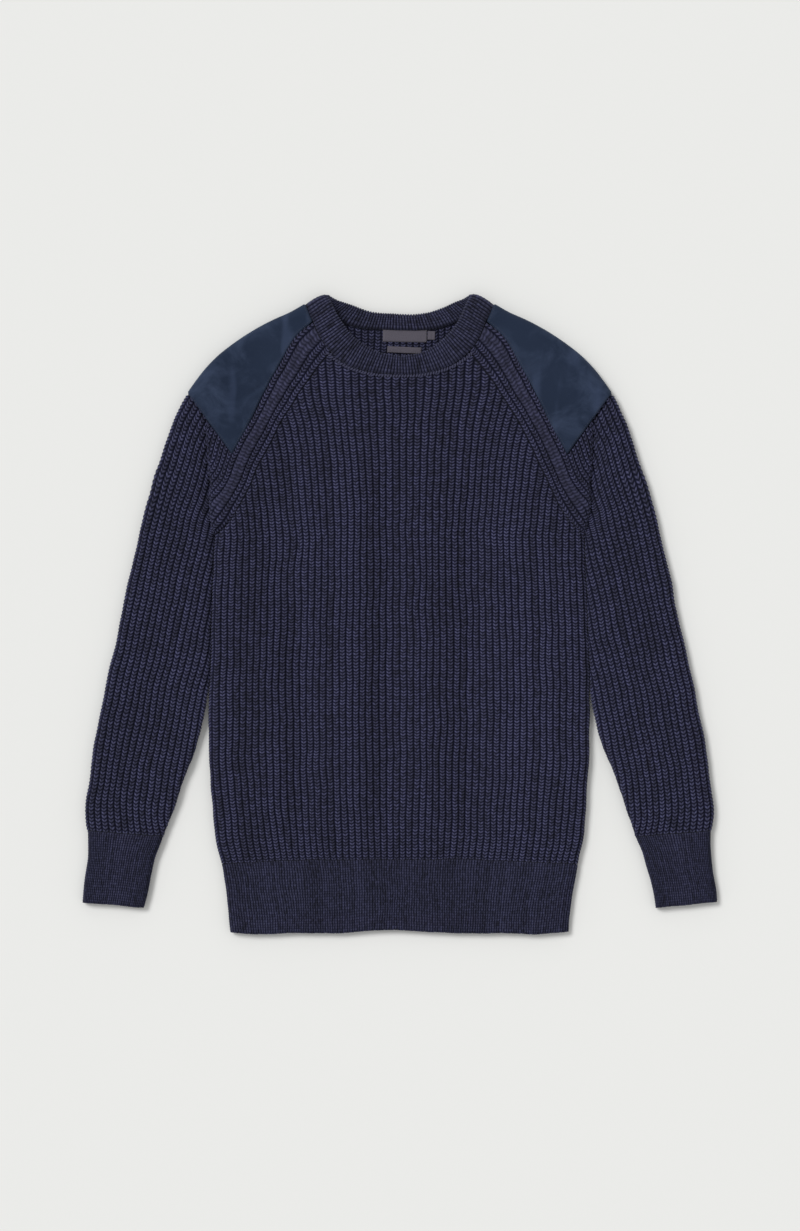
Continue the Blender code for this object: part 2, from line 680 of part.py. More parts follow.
def make_neckband(material):
    """The doubled band round the neck, a closed ring with a rib every two columns."""
    steps = 400
    table = [band_half(k / steps) for k in range(steps + 1)]
    lengths = [0.0]
    for (s0, e0), (s1, e1) in zip(table, table[1:]):
        middle0 = [(a + b) / 2 for a, b in zip(s0, e0)]
        middle1 = [(a + b) / 2 for a, b in zip(s1, e1)]
        lengths.append(lengths[-1] + math.dist(middle0, middle1))
    shares = [k / steps for k in range(steps + 1)]
    section = [
        (0.075, -0.75),
        (0.055, 0.75),
        (0.38, 1.0),
        (0.8, 1.0),
        (1.0, 0.0),
        (0.8, -1.0),
        (0.38, -1.0),
    ]

    def ring_row(side, k):
        share = on_lines(lengths, shares, lengths[-1] * k / (2 * COLLAR_RIBS))
        step = 0.004
        seam, edge = band_half(share)
        ahead = [band_half(min(share + step, 1.0))[i] for i in (0, 1)]
        behind = [band_half(max(share - step, 0.0))[i] for i in (0, 1)]
        rib = COLLAR_RISE * (k % 2)
        closer = 0.05 * smooth_step((share - 0.72) / 0.07)  # the back of the neck sits on its seam
        loop = []
        for across, thick in section:
            if across < 0.1:
                across -= closer
            run = [
                mix(a1, b1, across) - mix(a0, b0, across)
                for a0, b0, a1, b1 in zip(behind[0], behind[1], ahead[0], ahead[1])
            ]
            over = [b - a for a, b in zip(seam, edge)]
            normal = [
                run[1] * over[2] - run[2] * over[1],
                run[2] * over[0] - run[0] * over[2],
                run[0] * over[1] - run[1] * over[0],
            ]
            size = math.hypot(*normal)
            out = thick * COLLAR_HALF
            if abs(thick) == 1.0:
                out += math.copysign(rib, thick)
            spot = [mix(a, b, across) + out * n / size for a, b, n in zip(seam, edge, normal)]
            loop.append((side * spot[0], spot[1], max(spot[2], 0.0)))
        return loop

    columns = 2 * COLLAR_RIBS
    rows = [ring_row(1.0, k) for k in range(columns + 1)]
    rows += [ring_row(-1.0, k) for k in range(columns - 1, 0, -1)]
    count = len(section)
    faces = []
    for k in range(len(rows)):
        following = (k + 1) % len(rows)
        for i in range(count):
            j = (i + 1) % count
            corners = (k * count + i, k * count + j, following * count + j, following * count + i)
            faces.append(corners[:3])
            faces.append((corners[0], corners[2], corners[3]))
    return object_from("neckband", [p for row in rows for p in row], faces, material)


def make_patch(name, side, material):
    """The suede patch over a shoulder, made from the sleeve's points, moved out."""
    top = [share for share in TOP_FINE if share >= BAND_SHARE]
    under = [share for share in UNDER if share >= BAND_SHARE]

    def row_at(index, rise):
        row = [sleeve_point(side, index, share, rise) for share in top]
        return row + [sleeve_point(side, index, share, rise, lower=True) for share in under]

    def sheet(rise):
        rows = [row_at(index, rise) for index in range(PATCH_END_ROW + 1)]
        rows[0] = [tuple(mix(a, b, 0.12) for a, b in zip(p, q)) for p, q in zip(rows[0], rows[1])]
        return rows

    return wall(name, sheet(PATCH_LIFT), sheet(SEAM_GAP), material)


def make_label(row, material):
    """A flat woven label that lies on the inside of the back."""
    low = CLOTH + SEAM_GAP
    high = low + LABEL_THICKNESS
    turn = math.radians(row.turn)
    points = []
    for z in (low, high):
        for across, down in ((-1, -1), (1, -1), (1, 1), (-1, 1)):
            dx, dy = across * row.width / 2, down * row.depth / 2
            x = row.x + dx * math.cos(turn) - dy * math.sin(turn)
            y = row.y + dx * math.sin(turn) + dy * math.cos(turn)
            points.append((x, y, z))
    faces = [(0, 3, 2, 1), (4, 5, 6, 7)]
    faces += [(i, (i + 1) % 4, (i + 1) % 4 + 4, i + 4) for i in range(4)]
    return object_from(row.name, points, faces, material)


def make_material(name, colour, roughness):
    material = bpy.data.materials.new(name)
    material.use_nodes = True
    shader = material.node_tree.nodes["Principled BSDF"]
    shader.inputs["Base Color"].default_value = colour
    shader.inputs["Roughness"].default_value = roughness
    shader.inputs["Metallic"].default_value = 0.0
    return material


def main():
    for old in list(bpy.data.objects):
        bpy.data.objects.remove(old)
    wool = make_material("navy_wool", NAVY, 0.9)
    welt_wool = make_material("navy_welt_wool", NAVY, 0.9)
    suede = make_material("blue_suede", SUEDE_BLUE, 0.95)
    woven = make_material("grey_woven_label", LABEL_GREY, 0.7)
    make_front(wool)
    make_back(wool)
    make_hem("hem_front", False, welt_wool)
    make_hem("hem_back", True, welt_wool)
    make_neckband(welt_wool)
    for word, side in (("right", -1.0), ("left", 1.0)):
        make_sleeve(f"{word}_sleeve", side, wool)
        make_cuff(f"{word}_cuff", side, welt_wool)
        make_patch(f"{word}_shoulder_patch", side, suede)
    for row in LABELS:
        make_label(row, woven)


main()
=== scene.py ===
import math

import bmesh
import bpy
import numpy as np
from mathutils import Matrix, Vector


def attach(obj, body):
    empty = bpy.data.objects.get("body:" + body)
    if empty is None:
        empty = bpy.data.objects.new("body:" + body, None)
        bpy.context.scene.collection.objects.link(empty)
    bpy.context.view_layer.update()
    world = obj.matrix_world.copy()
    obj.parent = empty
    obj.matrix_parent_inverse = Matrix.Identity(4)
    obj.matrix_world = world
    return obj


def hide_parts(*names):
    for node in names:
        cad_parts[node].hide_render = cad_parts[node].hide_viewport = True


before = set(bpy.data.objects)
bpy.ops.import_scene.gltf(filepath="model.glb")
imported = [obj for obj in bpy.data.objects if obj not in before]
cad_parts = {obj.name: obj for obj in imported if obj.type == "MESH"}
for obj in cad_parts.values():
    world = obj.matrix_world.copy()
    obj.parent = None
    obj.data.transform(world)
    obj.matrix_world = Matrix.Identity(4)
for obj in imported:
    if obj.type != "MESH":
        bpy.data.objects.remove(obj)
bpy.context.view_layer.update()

mm = 0.001

# Sizes that several pieces share, in millimetres
garment = {
    "cloth": 4.0,  # knit between its ribs
    "ribRise": 1.5,
    "ribsPerSide": 29,
    "frontRoll": 9.0,
    "backRoll": 8.0,
    "sideHeight": 5.6,
    "underarmY": 87.0,
    "flatRun": 42.0,  # over this much above the underarm, the rounded side becomes flat
    "hemY": -268.0,  # the hem's seam in the middle, its drop at the sides, and how far out they are
    "hemDrop": 5.5,
    "hemHalf": 197.0,
    "nearHem": -270.0,  # where it is seen how far out a rib meets that seam
    "seamGap": 0.3,
    "raglanShare": 0.75,  # how much of the gap each side of a raglan seam gives, and of the hem's
    "hemShare": 0.65,
    "stitch": 3.4,  # one stitch of the body, measured along its rib
    "seamDip": 2.0,  # how far in from a seam the ribs reach their full height
}

heights = {"y": [-352, -272, -240, -180, 0, 180, 260, 350],
           "top": [9.2, 9.9, 10.8, 12.2, 12.7, 12.7, 13.4, 13.8]}
bodySide = {"y": [-352, -330, -300, -272, -252, -225, -187, -150, -98, -50, 0, 50, 87],
            "half": [186.4, 187.8, 191.8, 196.7, 200.9, 204.2, 207.5,
                     209.3, 209.6, 208.6, 207.2, 205.0, 203.3]}
ribFan = {"y": [87, 150, 203, 247, 325], "spread": [1.0, 1.05, 1.12, 1.23, 1.34]}

# Each sleeve section from the neck to the cuff: seam, end of the raglan band, shoulder fold,
# step to the seam behind, and how far the underside is off the floor
sleeveRows = np.array([
    (76.6, 289.3, 100.1, 319.2, 103.2, 341.4, -8.2, 36.0, 1.8),
    (84.0, 280.0, 114.6, 309.0, 120.3, 331.7, -7.4, 29.5, 1.8),
    (92.0, 270.0, 124.5, 294.0, 139.4, 323.1, -7.0, 23.5, 1.8),
    (105.0, 251.0, 133.2, 276.0, 160.1, 312.0, -9.2, 23.5, 1.8),
    (116.0, 235.0, 143.6, 256.5, 181.1, 298.2, -8.0, 15.5, 1.8),
    (126.0, 219.5, 154.0, 236.5, 199.1, 284.0, -4.0, 6.0, 1.8),
    (136.0, 201.0, 163.5, 216.5, 213.4, 269.2, 0.0, 0.0, 1.8),
    (145.5, 182.3, 173.5, 197.5, 224.5, 254.8, 0.0, 0.0, 1.8),
    (154.5, 164.5, 184.5, 177.5, 232.4, 243.4, 0.0, 0.0, 1.8),
    (164.5, 143.0, 194.0, 153.0, 245.0, 220.5, 0.0, 0.0, 0.5),
    (175.0, 122.5, 204.5, 138.0, 255.5, 194.5, 0.0, 0.0, 0.0),
    (187.0, 104.5, 217.5, 125.0, 264.0, 168.0, 0.0, 0.0, 0.0),
    (195.0, 95.0, 0.0, 0.0, 273.0, 140.0, 0.0, 0.0, 0.0),
    (203.3, 87.0, 0.0, 0.0, 281.5, 108.0, 0.0, 0.0, 0.0),
    (205.0, 50.0, 0.0, 0.0, 290.5, 72.0, 0.0, 0.0, 0.0),
    (207.2, 0.0, 0.0, 0.0, 301.5, 23.0, 0.0, 0.0, 0.0),
    (208.6, -50.0, 0.0, 0.0, 312.0, -27.5, 0.0, 0.0, 0.0),
    (210.4, -98.0, 0.0, 0.0, 322.5, -74.0, 0.0, 0.0, 0.0),
    (223.0, -141.0, 0.0, 0.0, 332.0, -122.0, 0.0, 0.0, 0.0),
    (238.4, -183.0, 0.0, 0.0, 340.5, -171.0, 0.0, 0.0, 0.0),
    (251.5, -222.0, 0.0, 0.0, 345.2, -212.0, 0.0, 0.0, 0.0),
    (259.2, -242.7, 0.0, 0.0, 343.2, -236.5, 0.0, 0.0, 0.0),
])
underarmRow = 13

# Half the neckband, centre front to centre back: seam, free edge, and the height of each
neckbandRows = np.array([
    (0.0, 264.6, 0.0, 285.5, 11.4, 14.6),
    (20.0, 265.4, 15.0, 287.2, 11.4, 14.6),
    (40.0, 269.2, 30.0, 292.0, 11.5, 14.8),
    (59.0, 276.4, 43.0, 299.8, 11.7, 15.0),
    (76.6, 289.3, 54.0, 310.0, 12.0, 15.4),
    (86.6, 304.4, 62.0, 320.5, 12.3, 15.8),
    (92.2, 317.0, 68.5, 331.0, 12.2, 15.8),
    (97.0, 328.5, 74.0, 343.5, 11.4, 14.2),
    (101.8, 339.8, 77.5, 350.0, 7.8, 9.0),
    (90.5, 334.8, 69.8, 347.6, 4.5, 4.9),
    (78.0, 329.6, 59.5, 344.0, 4.0, 4.2),
    (62.0, 322.5, 48.5, 339.6, 3.8, 4.0),
    (42.0, 317.0, 33.0, 335.2, 3.8, 4.0),
    (20.0, 315.0, 16.0, 332.5, 3.8, 4.0),
    (0.0, 314.6, 0.0, 331.7, 3.8, 4.0),
])

# Soft troughs in the upper face, a ridge where the depth is negative: three places down the fold,
# half width, depth
folds = [
    (-112, 225, -132, 90, -118, -40, 20, 2.6),
    (-118, 20, -104, -127, -112, -262, 17, 3.6),
    (-150, 10, -148, -120, -150, -250, 16, -1.0),
    (-12, 170, -11, -50, -12, -255, 18, 3.2),
    (-55, 190, -57, -60, -56, -240, 20, -0.9),
    (84, 160, 76, -20, 78, -262, 18, 3.2),
    (38, 180, 34, -40, 38, -240, 19, -0.9),
    (216, 222, 206, 90, 222, -118, 13, 2.6),
    (-214, 206, -210, 150, -207, 92, 7, 2.8),
    (-197, 186, -195, 150, -194, 118, 9, -1.1),
    (196, 186, 192, 150, 193, 118, 9, -0.9),
]
foldFade = 45.0


def mix(a, b, share):
    return a + (b - a) * share


def smoothStep(share):
    share = np.clip(share, 0.0, 1.0)
    return share * share * (3 - 2 * share)


def runAlong(points):  # the distance along a line of points, from its first one
    steps = np.linalg.norm(np.diff(points, axis=0), axis=1)
    return np.concatenate([[0], np.cumsum(steps)])


def throughPoints(a, b, c, d, t):  # Catmull-Rom, from b where t is 0 to c where it is 1
    return 0.5 * (2 * b + (c - a) * t + (2 * a - 5 * b + 4 * c - d) * t * t
                  + (3 * b - a - 3 * c + d) * t**3)


def along(xs, ys, x):  # a curve through the points that never overshoots between two of them
    xs, ys = np.asarray(xs, float), np.asarray(ys, float)
    x = np.clip(x, xs[0], xs[-1])
    steps = np.diff(ys) / np.diff(xs)
    before, after = steps[:-1], steps[1:]
    both = np.where(before * after > 0, before + after, 1.0)
    inside = np.where(before * after > 0, 2 * before * after / both, 0.0)
    slopes = np.concatenate([steps[:1], inside, steps[-1:]])
    i = np.clip(np.searchsorted(xs, x, side="right") - 1, 0, len(xs) - 2)
    width = xs[i + 1] - xs[i]
    t = (x - xs[i]) / width
    return (
        ys[i] * (1 + 2 * t) * (1 - t) ** 2
        + ys[i + 1] * t * t * (3 - 2 * t)
        + width * slopes[i] * t * (1 - t) ** 2
        - width * slopes[i + 1] * t * t * (1 - t)
    )


def foldDepth(x, y):
    total = np.zeros(np.broadcast(x, y).shape)
    for topX, topY, midX, midY, lowX, lowY, halfWidth, depth in folds:
        ends = smoothStep((y - lowY) / foldFade) * smoothStep((topY - y) / foldFade)
        centre = along([lowY, midY, topY], [lowX, midX, topX], y)
        total = total + depth * ends * np.exp(-(((x - centre) / halfWidth) ** 2))
    return total


def topHeight(x, y):
    return along(heights["y"], heights["top"], y) - foldDepth(x, y)


seamLine = sleeveRows[: underarmRow + 1, 0:2]
backSeamLine = seamLine + sleeveRows[: underarmRow + 1, 6:8]


def halfWidthAt(y, line):
    raglan = np.interp(y, line[::-1, 1], line[::-1, 0])
    side = along(bodySide["y"], bodySide["half"], y)
    return np.where(y > garment["underarmY"], raglan, side) - garment["seamGap"] * garment["raglanShare"]


def flatness(y):  # 0 where the cloth rounds down to a side seam, 1 where it runs flat to a raglan
    return smoothStep((y - garment["underarmY"]) / garment["flatRun"])


def quarterLength(a, b):
    h = ((a - b) / (a + b)) ** 2
    return math.pi / 4 * (a + b) * (1 + 3 * h / (10 + np.sqrt(4 - 3 * h)))


def girth(y, lower):
    line = backSeamLine if lower else seamLine
    roll = garment["backRoll"] if lower else garment["frontRoll"]
    rise = garment["sideHeight"] if lower else along(heights["y"], heights["top"], y) - garment["sideHeight"]
    arc = mix(quarterLength(roll, rise), roll, flatness(y))
    return halfWidthAt(y, line) - roll + arc, arc


def ribPitch(y, lower):
    pitch = girth(np.minimum(y, garment["underarmY"]), lower)[0] / garment["ribsPerSide"]
    return pitch if lower else pitch * along(ribFan["y"], ribFan["spread"], y)


def bodyPoint(rib, y, rise=0.0, lower=False):
    rib, y = np.broadcast_arrays(np.asarray(rib, float), np.asarray(y, float))
    side = np.where(rib < 0, -1.0, 1.0)
    roll = garment["backRoll"] if lower else garment["frontRoll"]
    reach, arc = girth(y, lower)
    x = np.abs(rib) * ribPitch(y, lower)
    left = np.maximum(reach - x, 0.0)
    flat = flatness(y)
    turn = math.pi / 2 * np.clip(left / arc, 0, 1)
    edge = halfWidthAt(y, backSeamLine if lower else seamLine)
    rolled = np.minimum(edge - roll + (roll + rise) * np.cos(turn), edge)
    near = left < arc
    x = np.where(near, mix(rolled, edge - roll * left / arc, flat), x)
    lift = np.where(near, mix(np.sin(turn), 1.0, flat), 1.0)
    if lower:
        base = garment["sideHeight"] - garment["seamGap"]
        return np.stack([side * x, y, base - (base + rise) * lift], -1)
    middle = garment["sideHeight"]
    return np.stack([side * x, y, middle + (topHeight(side * x, y) + rise - middle) * lift], -1)


def bandHalf(at):  # seam and free edge of the neckband at a place along its table
    rows = neckbandRows
    padded = np.vstack([2 * rows[0] - rows[1], rows, 2 * rows[-1] - rows[-2]])
    at = np.asarray(at, float)
    i = np.clip(at.astype(int), 0, len(rows) - 2)
    row = throughPoints(*(padded[i + k] for k in range(4)), (at - i)[..., None])
    return row[..., [0, 1, 4]], row[..., [2, 3, 5]]


def neckLine(first, last, steps):  # the neckband's seam between two rows of its table, from above
    return bandHalf(np.linspace(first, last, steps + 1))[0][:, :2]


frontNeck = neckLine(0, 4, 40)
backNeck = neckLine(14, 9, 60)


def neckY(x, line):
    x = np.abs(x)
    slope = np.interp(x + 1, line[:, 0], line[:, 1]) - np.interp(x - 1, line[:, 0], line[:, 1])
    return np.interp(x, line[:, 0], line[:, 1]) - garment["seamGap"] * np.hypot(1, slope / 2)


def endOfRib(rib, lower):  # where a body rib meets the raglan seam or the neckband
    line = backSeamLine if lower else seamLine
    neck = backNeck if lower else frontNeck
    low = np.full(rib.shape, garment["underarmY"])
    high = np.full(rib.shape, line[0][1])
    atNeck = np.abs(rib) * ribPitch(high, lower) < girth(high, lower)[0]
    top = high.copy()
    for _ in range(30):
        top = neckY(bodyPoint(rib, top, 0.0, lower)[..., 0], neck)
    for _ in range(40):
        middle = (low + high) / 2
        inside = np.abs(rib) * ribPitch(middle, lower) < girth(middle, lower)[0]
        low, high = np.where(inside, middle, low), np.where(inside, high, middle)
    return np.where(atNeck, top, low)


def hemSeam(x):
    return garment["hemY"] - garment["hemDrop"] * (x / garment["hemHalf"]) ** 2


def chevron(phase, reach):  # how far a stitch's V rises from its tip in the middle of the rib
    return np.abs(phase - 0.5) / 0.5 * reach


def courseRows(length, pitch, shift):  # places along a rib, and the numbers of their rows
    spare = 0.45 * pitch  # no row comes closer to an end than this
    low = math.ceil((spare - shift) / pitch)
    high = math.floor((length - spare - shift) / pitch)
    rows = np.arange(low, high + 1)
    places = np.concatenate([[0.0], rows * pitch + shift, [length]])
    numbers = np.concatenate([[-shift / pitch], rows, [(length - shift) / pitch]])
    return places, numbers


bodyPhases = [0.0, 0.22, 0.5, 0.78]  # a rib's valley, its two legs and its middle between them


def ribPlaces(first, last):
    return [k + phase for k in range(first, last) for phase in bodyPhases]


def newObject(name, data):
    made = bpy.data.objects.new(name, data)
    bpy.context.scene.collection.objects.link(made)
    return made


class Knit:  # points, faces and knit attributes of one piece of cloth
    def __init__(self):
        self.points, self.faces, self.count = [], [], 0
        self.facts = {"rib": [], "course": [], "lift": [], "fade": [], "plain": []}

    def line(self, points, rib, course=0.0, lift=0.0, fade=0.0, plain=0.0):
        points = np.asarray(points, float)
        self.points.append(points)
        given = {"rib": rib, "course": course, "lift": lift, "fade": fade, "plain": plain}
        for name, value in given.items():
            self.facts[name].append(np.broadcast_to(np.asarray(value, float), (len(points),)))
        ids = list(range(self.count, self.count + len(points)))
        self.count += len(points)
        return ids

    def strip(self, first, second, firstAt, secondAt):  # faces between two lines, matched by place
        i = j = 0
        while i < len(first) - 1 or j < len(second) - 1:
            moreFirst, moreSecond = i < len(first) - 1, j < len(second) - 1
            if moreFirst and moreSecond and abs(firstAt[i + 1] - secondAt[j + 1]) < 1e-6:
                self.faces.append((first[i], first[i + 1], second[j + 1], second[j]))
                i, j = i + 1, j + 1
            elif moreFirst and (not moreSecond or firstAt[i + 1] < secondAt[j + 1]):
                self.faces.append((first[i], first[i + 1], second[j]))
                i += 1
            else:
                self.faces.append((first[i], second[j + 1], second[j]))
                j += 1

    def sheet(self, lines, closed=False):
        following = lines[1:] + (lines[:1] if closed else [])
        for (first, firstAt), (second, secondAt) in zip(lines, following):
            self.strip(first, second, firstAt, secondAt)

    def wall(self, outer, inner, outerRibs, innerRibs, closed=False):
        self.sheet(outer, closed)
        self.sheet(inner, closed)
        for end in (0, -1):
            a, b = [ids[end] for ids, _ in outer], [ids[end] for ids, _ in inner]
            if closed:
                a, b = a + a[:1], b + b[:1]
            self.strip(a, b, outerRibs, innerRibs)
        if closed:
            return
        for end in (0, -1):
            (a, _), (b, _) = outer[end], inner[end]
            runs = [runAlong(np.concatenate(self.points)[ids]) for ids in (a, b)]
            self.strip(a, b, list(runs[0] / runs[0][-1]), list(runs[1] / runs[1][-1]))

    def made(self, name):
        mesh = bpy.data.meshes.new(name)
        mesh.from_pydata((np.concatenate(self.points) * mm).tolist(), [], self.faces)
        shape = bmesh.new()
        shape.from_mesh(mesh)
        bmesh.ops.recalc_face_normals(shape, faces=shape.faces)
        shape.to_mesh(mesh)
        shape.free()
        for fact, values in self.facts.items():
            stored = mesh.attributes.new(fact, "FLOAT", "POINT")
            stored.data.foreach_set("value", np.concatenate(values).astype(np.float32))
        mesh.shade_smooth()
        return newObject(name, mesh)


class Wire:  # a node's output, with arithmetic that adds Math nodes
    def __init__(self, maker, socket):
        self.maker, self.socket = maker, socket

    def math(self, operation, *others):
        sockets = dict(enumerate((self, *others)))
        return self.maker.node("ShaderNodeMath", {"operation": operation}, sockets)

    def swapped(self, operation, other):
        return self.maker.node("ShaderNodeMath", {"operation": operation}, {0: other, 1: self})

    def __add__(self, other):
        return self.math("ADD", other)

    def __radd__(self, other):
        return self.swapped("ADD", other)

    def __sub__(self, other):
        return self.math("SUBTRACT", other)

    def __rsub__(self, other):
        return self.swapped("SUBTRACT", other)

    def __mul__(self, other):
        return self.math("MULTIPLY", other)

    def __rmul__(self, other):
        return self.swapped("MULTIPLY", other)

    def __pow__(self, other):
        return self.math("POWER", other)

    def __abs__(self):
        return self.math("ABSOLUTE")


class Maker:  # adds nodes to one tree
    def __init__(self, tree):
        self.tree = tree

    def node(self, kind, settings=(), sockets=(), out=0):
        made = self.tree.nodes.new(kind)
        for name, value in dict(settings).items():
            setattr(made, name, value)
        for name, value in dict(sockets).items():
            if isinstance(value, Wire):
                self.tree.links.new(value.socket, made.inputs[name])
            else:
                made.inputs[name].default_value = value
        return Wire(self, made.outputs[out])

    def fade(self, value, low, high, start=0.0, end=1.0):
        return self.node("ShaderNodeMapRange", {"interpolation_type": "SMOOTHSTEP"},
                         {"Value": value, "From Min": low, "From Max": high, "To Min": start, "To Max": end})

    def blend(self, factor, first, second):
        return self.node("ShaderNodeMix", {"data_type": "RGBA"}, {0: factor, 6: first, 7: second}, 2)

    def noise(self, place, scale, detail, more=(), out=0):
        sockets = {"Vector": place, "Scale": scale, "Detail": detail, **dict(more)}
        return self.node("ShaderNodeTexNoise", (), sockets, out)

    def vector(self, operation, *values):
        return self.node("ShaderNodeVectorMath", {"operation": operation}, dict(enumerate(values)))

    def scaled(self, vector, size):
        return self.node("ShaderNodeVectorMath", {"operation": "SCALE"}, {0: vector, "Scale": size})

    def bump(self, strength, depth, height):  # its depth is in millimetres
        sockets = {"Strength": strength, "Distance": depth * mm, "Height": height}
        return self.node("ShaderNodeBump", (), sockets)

    def facts(self, *labels):  # the attributes of a piece, as its material reads them
        return [self.node("ShaderNodeAttribute", {"attribute_name": label}, (), "Fac") for label in labels]


def newTree(name, inputs):  # a geometry tree with named inputs
    tree = bpy.data.node_groups.new(name, "GeometryNodeTree")
    tree.interface.new_socket("Geometry", in_out="INPUT", socket_type="NodeSocketGeometry")
    for label, kind, value in inputs:
        socket = tree.interface.new_socket(label, in_out="INPUT", socket_type=kind)
        if value is not None:
            socket.default_value = value
    tree.interface.new_socket("Geometry", in_out="OUTPUT", socket_type="NodeSocketGeometry")
    maker = Maker(tree)
    group = tree.nodes.new("NodeGroupInput")
    given = {item.name: Wire(maker, group.outputs[item.name]) for item in tree.interface.items_tree
             if item.item_type == "SOCKET" and item.in_out == "INPUT"}
    return tree, maker, given


def endTree(tree, maker, geometry, material):
    real = maker.node("GeometryNodeRealizeInstances", (), {"Geometry": geometry})
    dressed = maker.node("GeometryNodeSetMaterial", (), {"Geometry": real, "Material": material})
    last = tree.nodes.new("NodeGroupOutput")
    tree.links.new(dressed.socket, last.inputs["Geometry"])


def grown(source, tree, values):  # the tree's result as a plain mesh in the same object
    added = source.modifiers.new(tree.name, "NODES")
    added.node_group = tree
    for item in tree.interface.items_tree:
        if item.item_type == "SOCKET" and item.in_out == "INPUT" and item.name in values:
            added[item.identifier] = values[item.name]
    graph = bpy.context.evaluated_depsgraph_get()
    seen = source.evaluated_get(graph)
    mesh = bpy.data.meshes.new_from_object(seen, preserve_all_data_layers=True, depsgraph=graph)
    source.modifiers.remove(added)
    old, source.data = source.data, mesh
    name = old.name
    bpy.data.meshes.remove(old)
    mesh.name = name
    return source


reliefShape = {"valleyPower": 3.0, "centreTo": 0.45, "plainStitch": 0.4,
               "noiseScale": 260.0, "wanderScale": 22.0}


def knitReliefTree():
    tree, maker, given = newTree("knit relief", [
        ("Rib Depth", "NodeSocketFloat", 2.2),
        ("Stitch Rise", "NodeSocketFloat", 0.6),
        ("Centre Groove", "NodeSocketFloat", 0.2),
        ("Unevenness", "NodeSocketFloat", 0.25),
        ("Wander", "NodeSocketFloat", 5.0),
        ("Material", "NodeSocketMaterial", None),
    ])

    def fact(name):
        return maker.node("GeometryNodeInputNamedAttribute", {"data_type": "FLOAT"}, {"Name": name})

    rib, course, lift, fade, plain = (fact(name) for name in ("rib", "course", "lift", "fade", "plain"))
    away = abs(rib.math("FRACT") - 0.5) * 2.0  # 0 in the middle of a rib, 1 in the valley
    ribbed = 1.0 - plain
    valley = away ** reliefShape["valleyPower"] * ribbed * given["Rib Depth"]
    centre = (1.0 - maker.fade(away, 0.0, reliefShape["centreTo"])) * ribbed * given["Centre Groove"]
    between = (0.5 - 0.5 * (course * (2 * math.pi)).math("COSINE")) * given["Stitch Rise"]
    place = maker.node("GeometryNodeInputPosition")
    noise = maker.noise(place, reliefShape["noiseScale"], 1.0)
    uneven = (noise - 0.5) * given["Unevenness"]
    sunk = between * (1.0 + reliefShape["plainStitch"] * plain)
    height = (lift - valley - centre - sunk + uneven) * fade * mm
    normal = maker.node("GeometryNodeInputNormal")
    # the ribs wander a little sideways, and nothing goes below the floor
    drift = maker.noise(place, reliefShape["wanderScale"], 1.0, out="Color")
    aside = maker.vector("MULTIPLY_ADD", drift, (1.0, 1.0, 0.0), (-0.5, -0.5, 0.0))
    wander = maker.scaled(aside, given["Wander"] * mm)
    offset = maker.vector("ADD", maker.scaled(normal, height), wander)
    raised = maker.node("GeometryNodeSetPosition", (), {"Geometry": given["Geometry"], "Offset": offset})
    floored = maker.vector("MAXIMUM", place, (-10.0, -10.0, 0.0))
    kept = maker.node("GeometryNodeSetPosition", (), {"Geometry": raised, "Position": floored})
    endTree(tree, maker, kept, given["Material"])
    return tree


def newMaterial(name, fixed):
    material = bpy.data.materials.new(name)
    material.use_nodes = True
    shader = material.node_tree.nodes["Principled BSDF"]
    for socket, value in fixed.items():
        shader.inputs[socket].default_value = value
    maker = Maker(material.node_tree)

    def feed(socket, wire):
        material.node_tree.links.new(wire.socket, shader.inputs[socket])

    return material, maker, feed


woolLook = {
    "leg": (0.054, 0.0555, 0.111, 1),
    # the valley colour is painted shade: it darkens the rib valleys, the gaps between stitches and the
    # parting between a stitch's legs
    "valley": (0.002, 0.0025, 0.013, 1),
    "light": (0.12, 0.12, 0.19, 1),
    "roughness": 0.92,
    "sheen": {"Sheen Weight": 0.1, "Sheen Roughness": 0.5, "Sheen Tint": (0.7, 0.74, 0.95, 1),
              "Specular IOR Level": 0.2},
    "heather": 0.4,
    # how dark the painted shade is in the gaps between stitches and in the parting between a stitch's legs
    "gap": 0.96,
    "partingShade": 0.4,
    "uneven": 0.7,
    # the painted seam shade: the share of the colour left along seams, edges and inner faces
    "seamShade": 0.75,
    "valleyShadeAt": (0.48, 0.9),  # where the painted shade of a valley begins and is whole
    # where the painted shade of the parting and of the gaps between stitches begins and is whole
    "partingShadeAt": (0.03, 0.3),
    "gapShadeAt": (0.15, 0.8),
    "fleckAt": (0.5, 0.8),
    "plain": {"valley": 0.6, "gap": 0.35, "shade": 0.3},  # how much fainter the painted shade of valleys and gaps is on plain knit, and by how much plain knit is darker
    "wobble": 0.4,
    "cloudy": (0.8, 0.4),
    "scales": {"fibres": 1400.0, "clouds": 9.0, "wobble": 90.0},
    "bump": 0.55,
}
weltLook = {**woolLook, "leg": (0.038, 0.0395, 0.078, 1), "gap": 0.45, "partingShade": 0.0, "uneven": 0.9,
            "valleyShadeAt": (0.3, 0.9), "bump": 0.35}


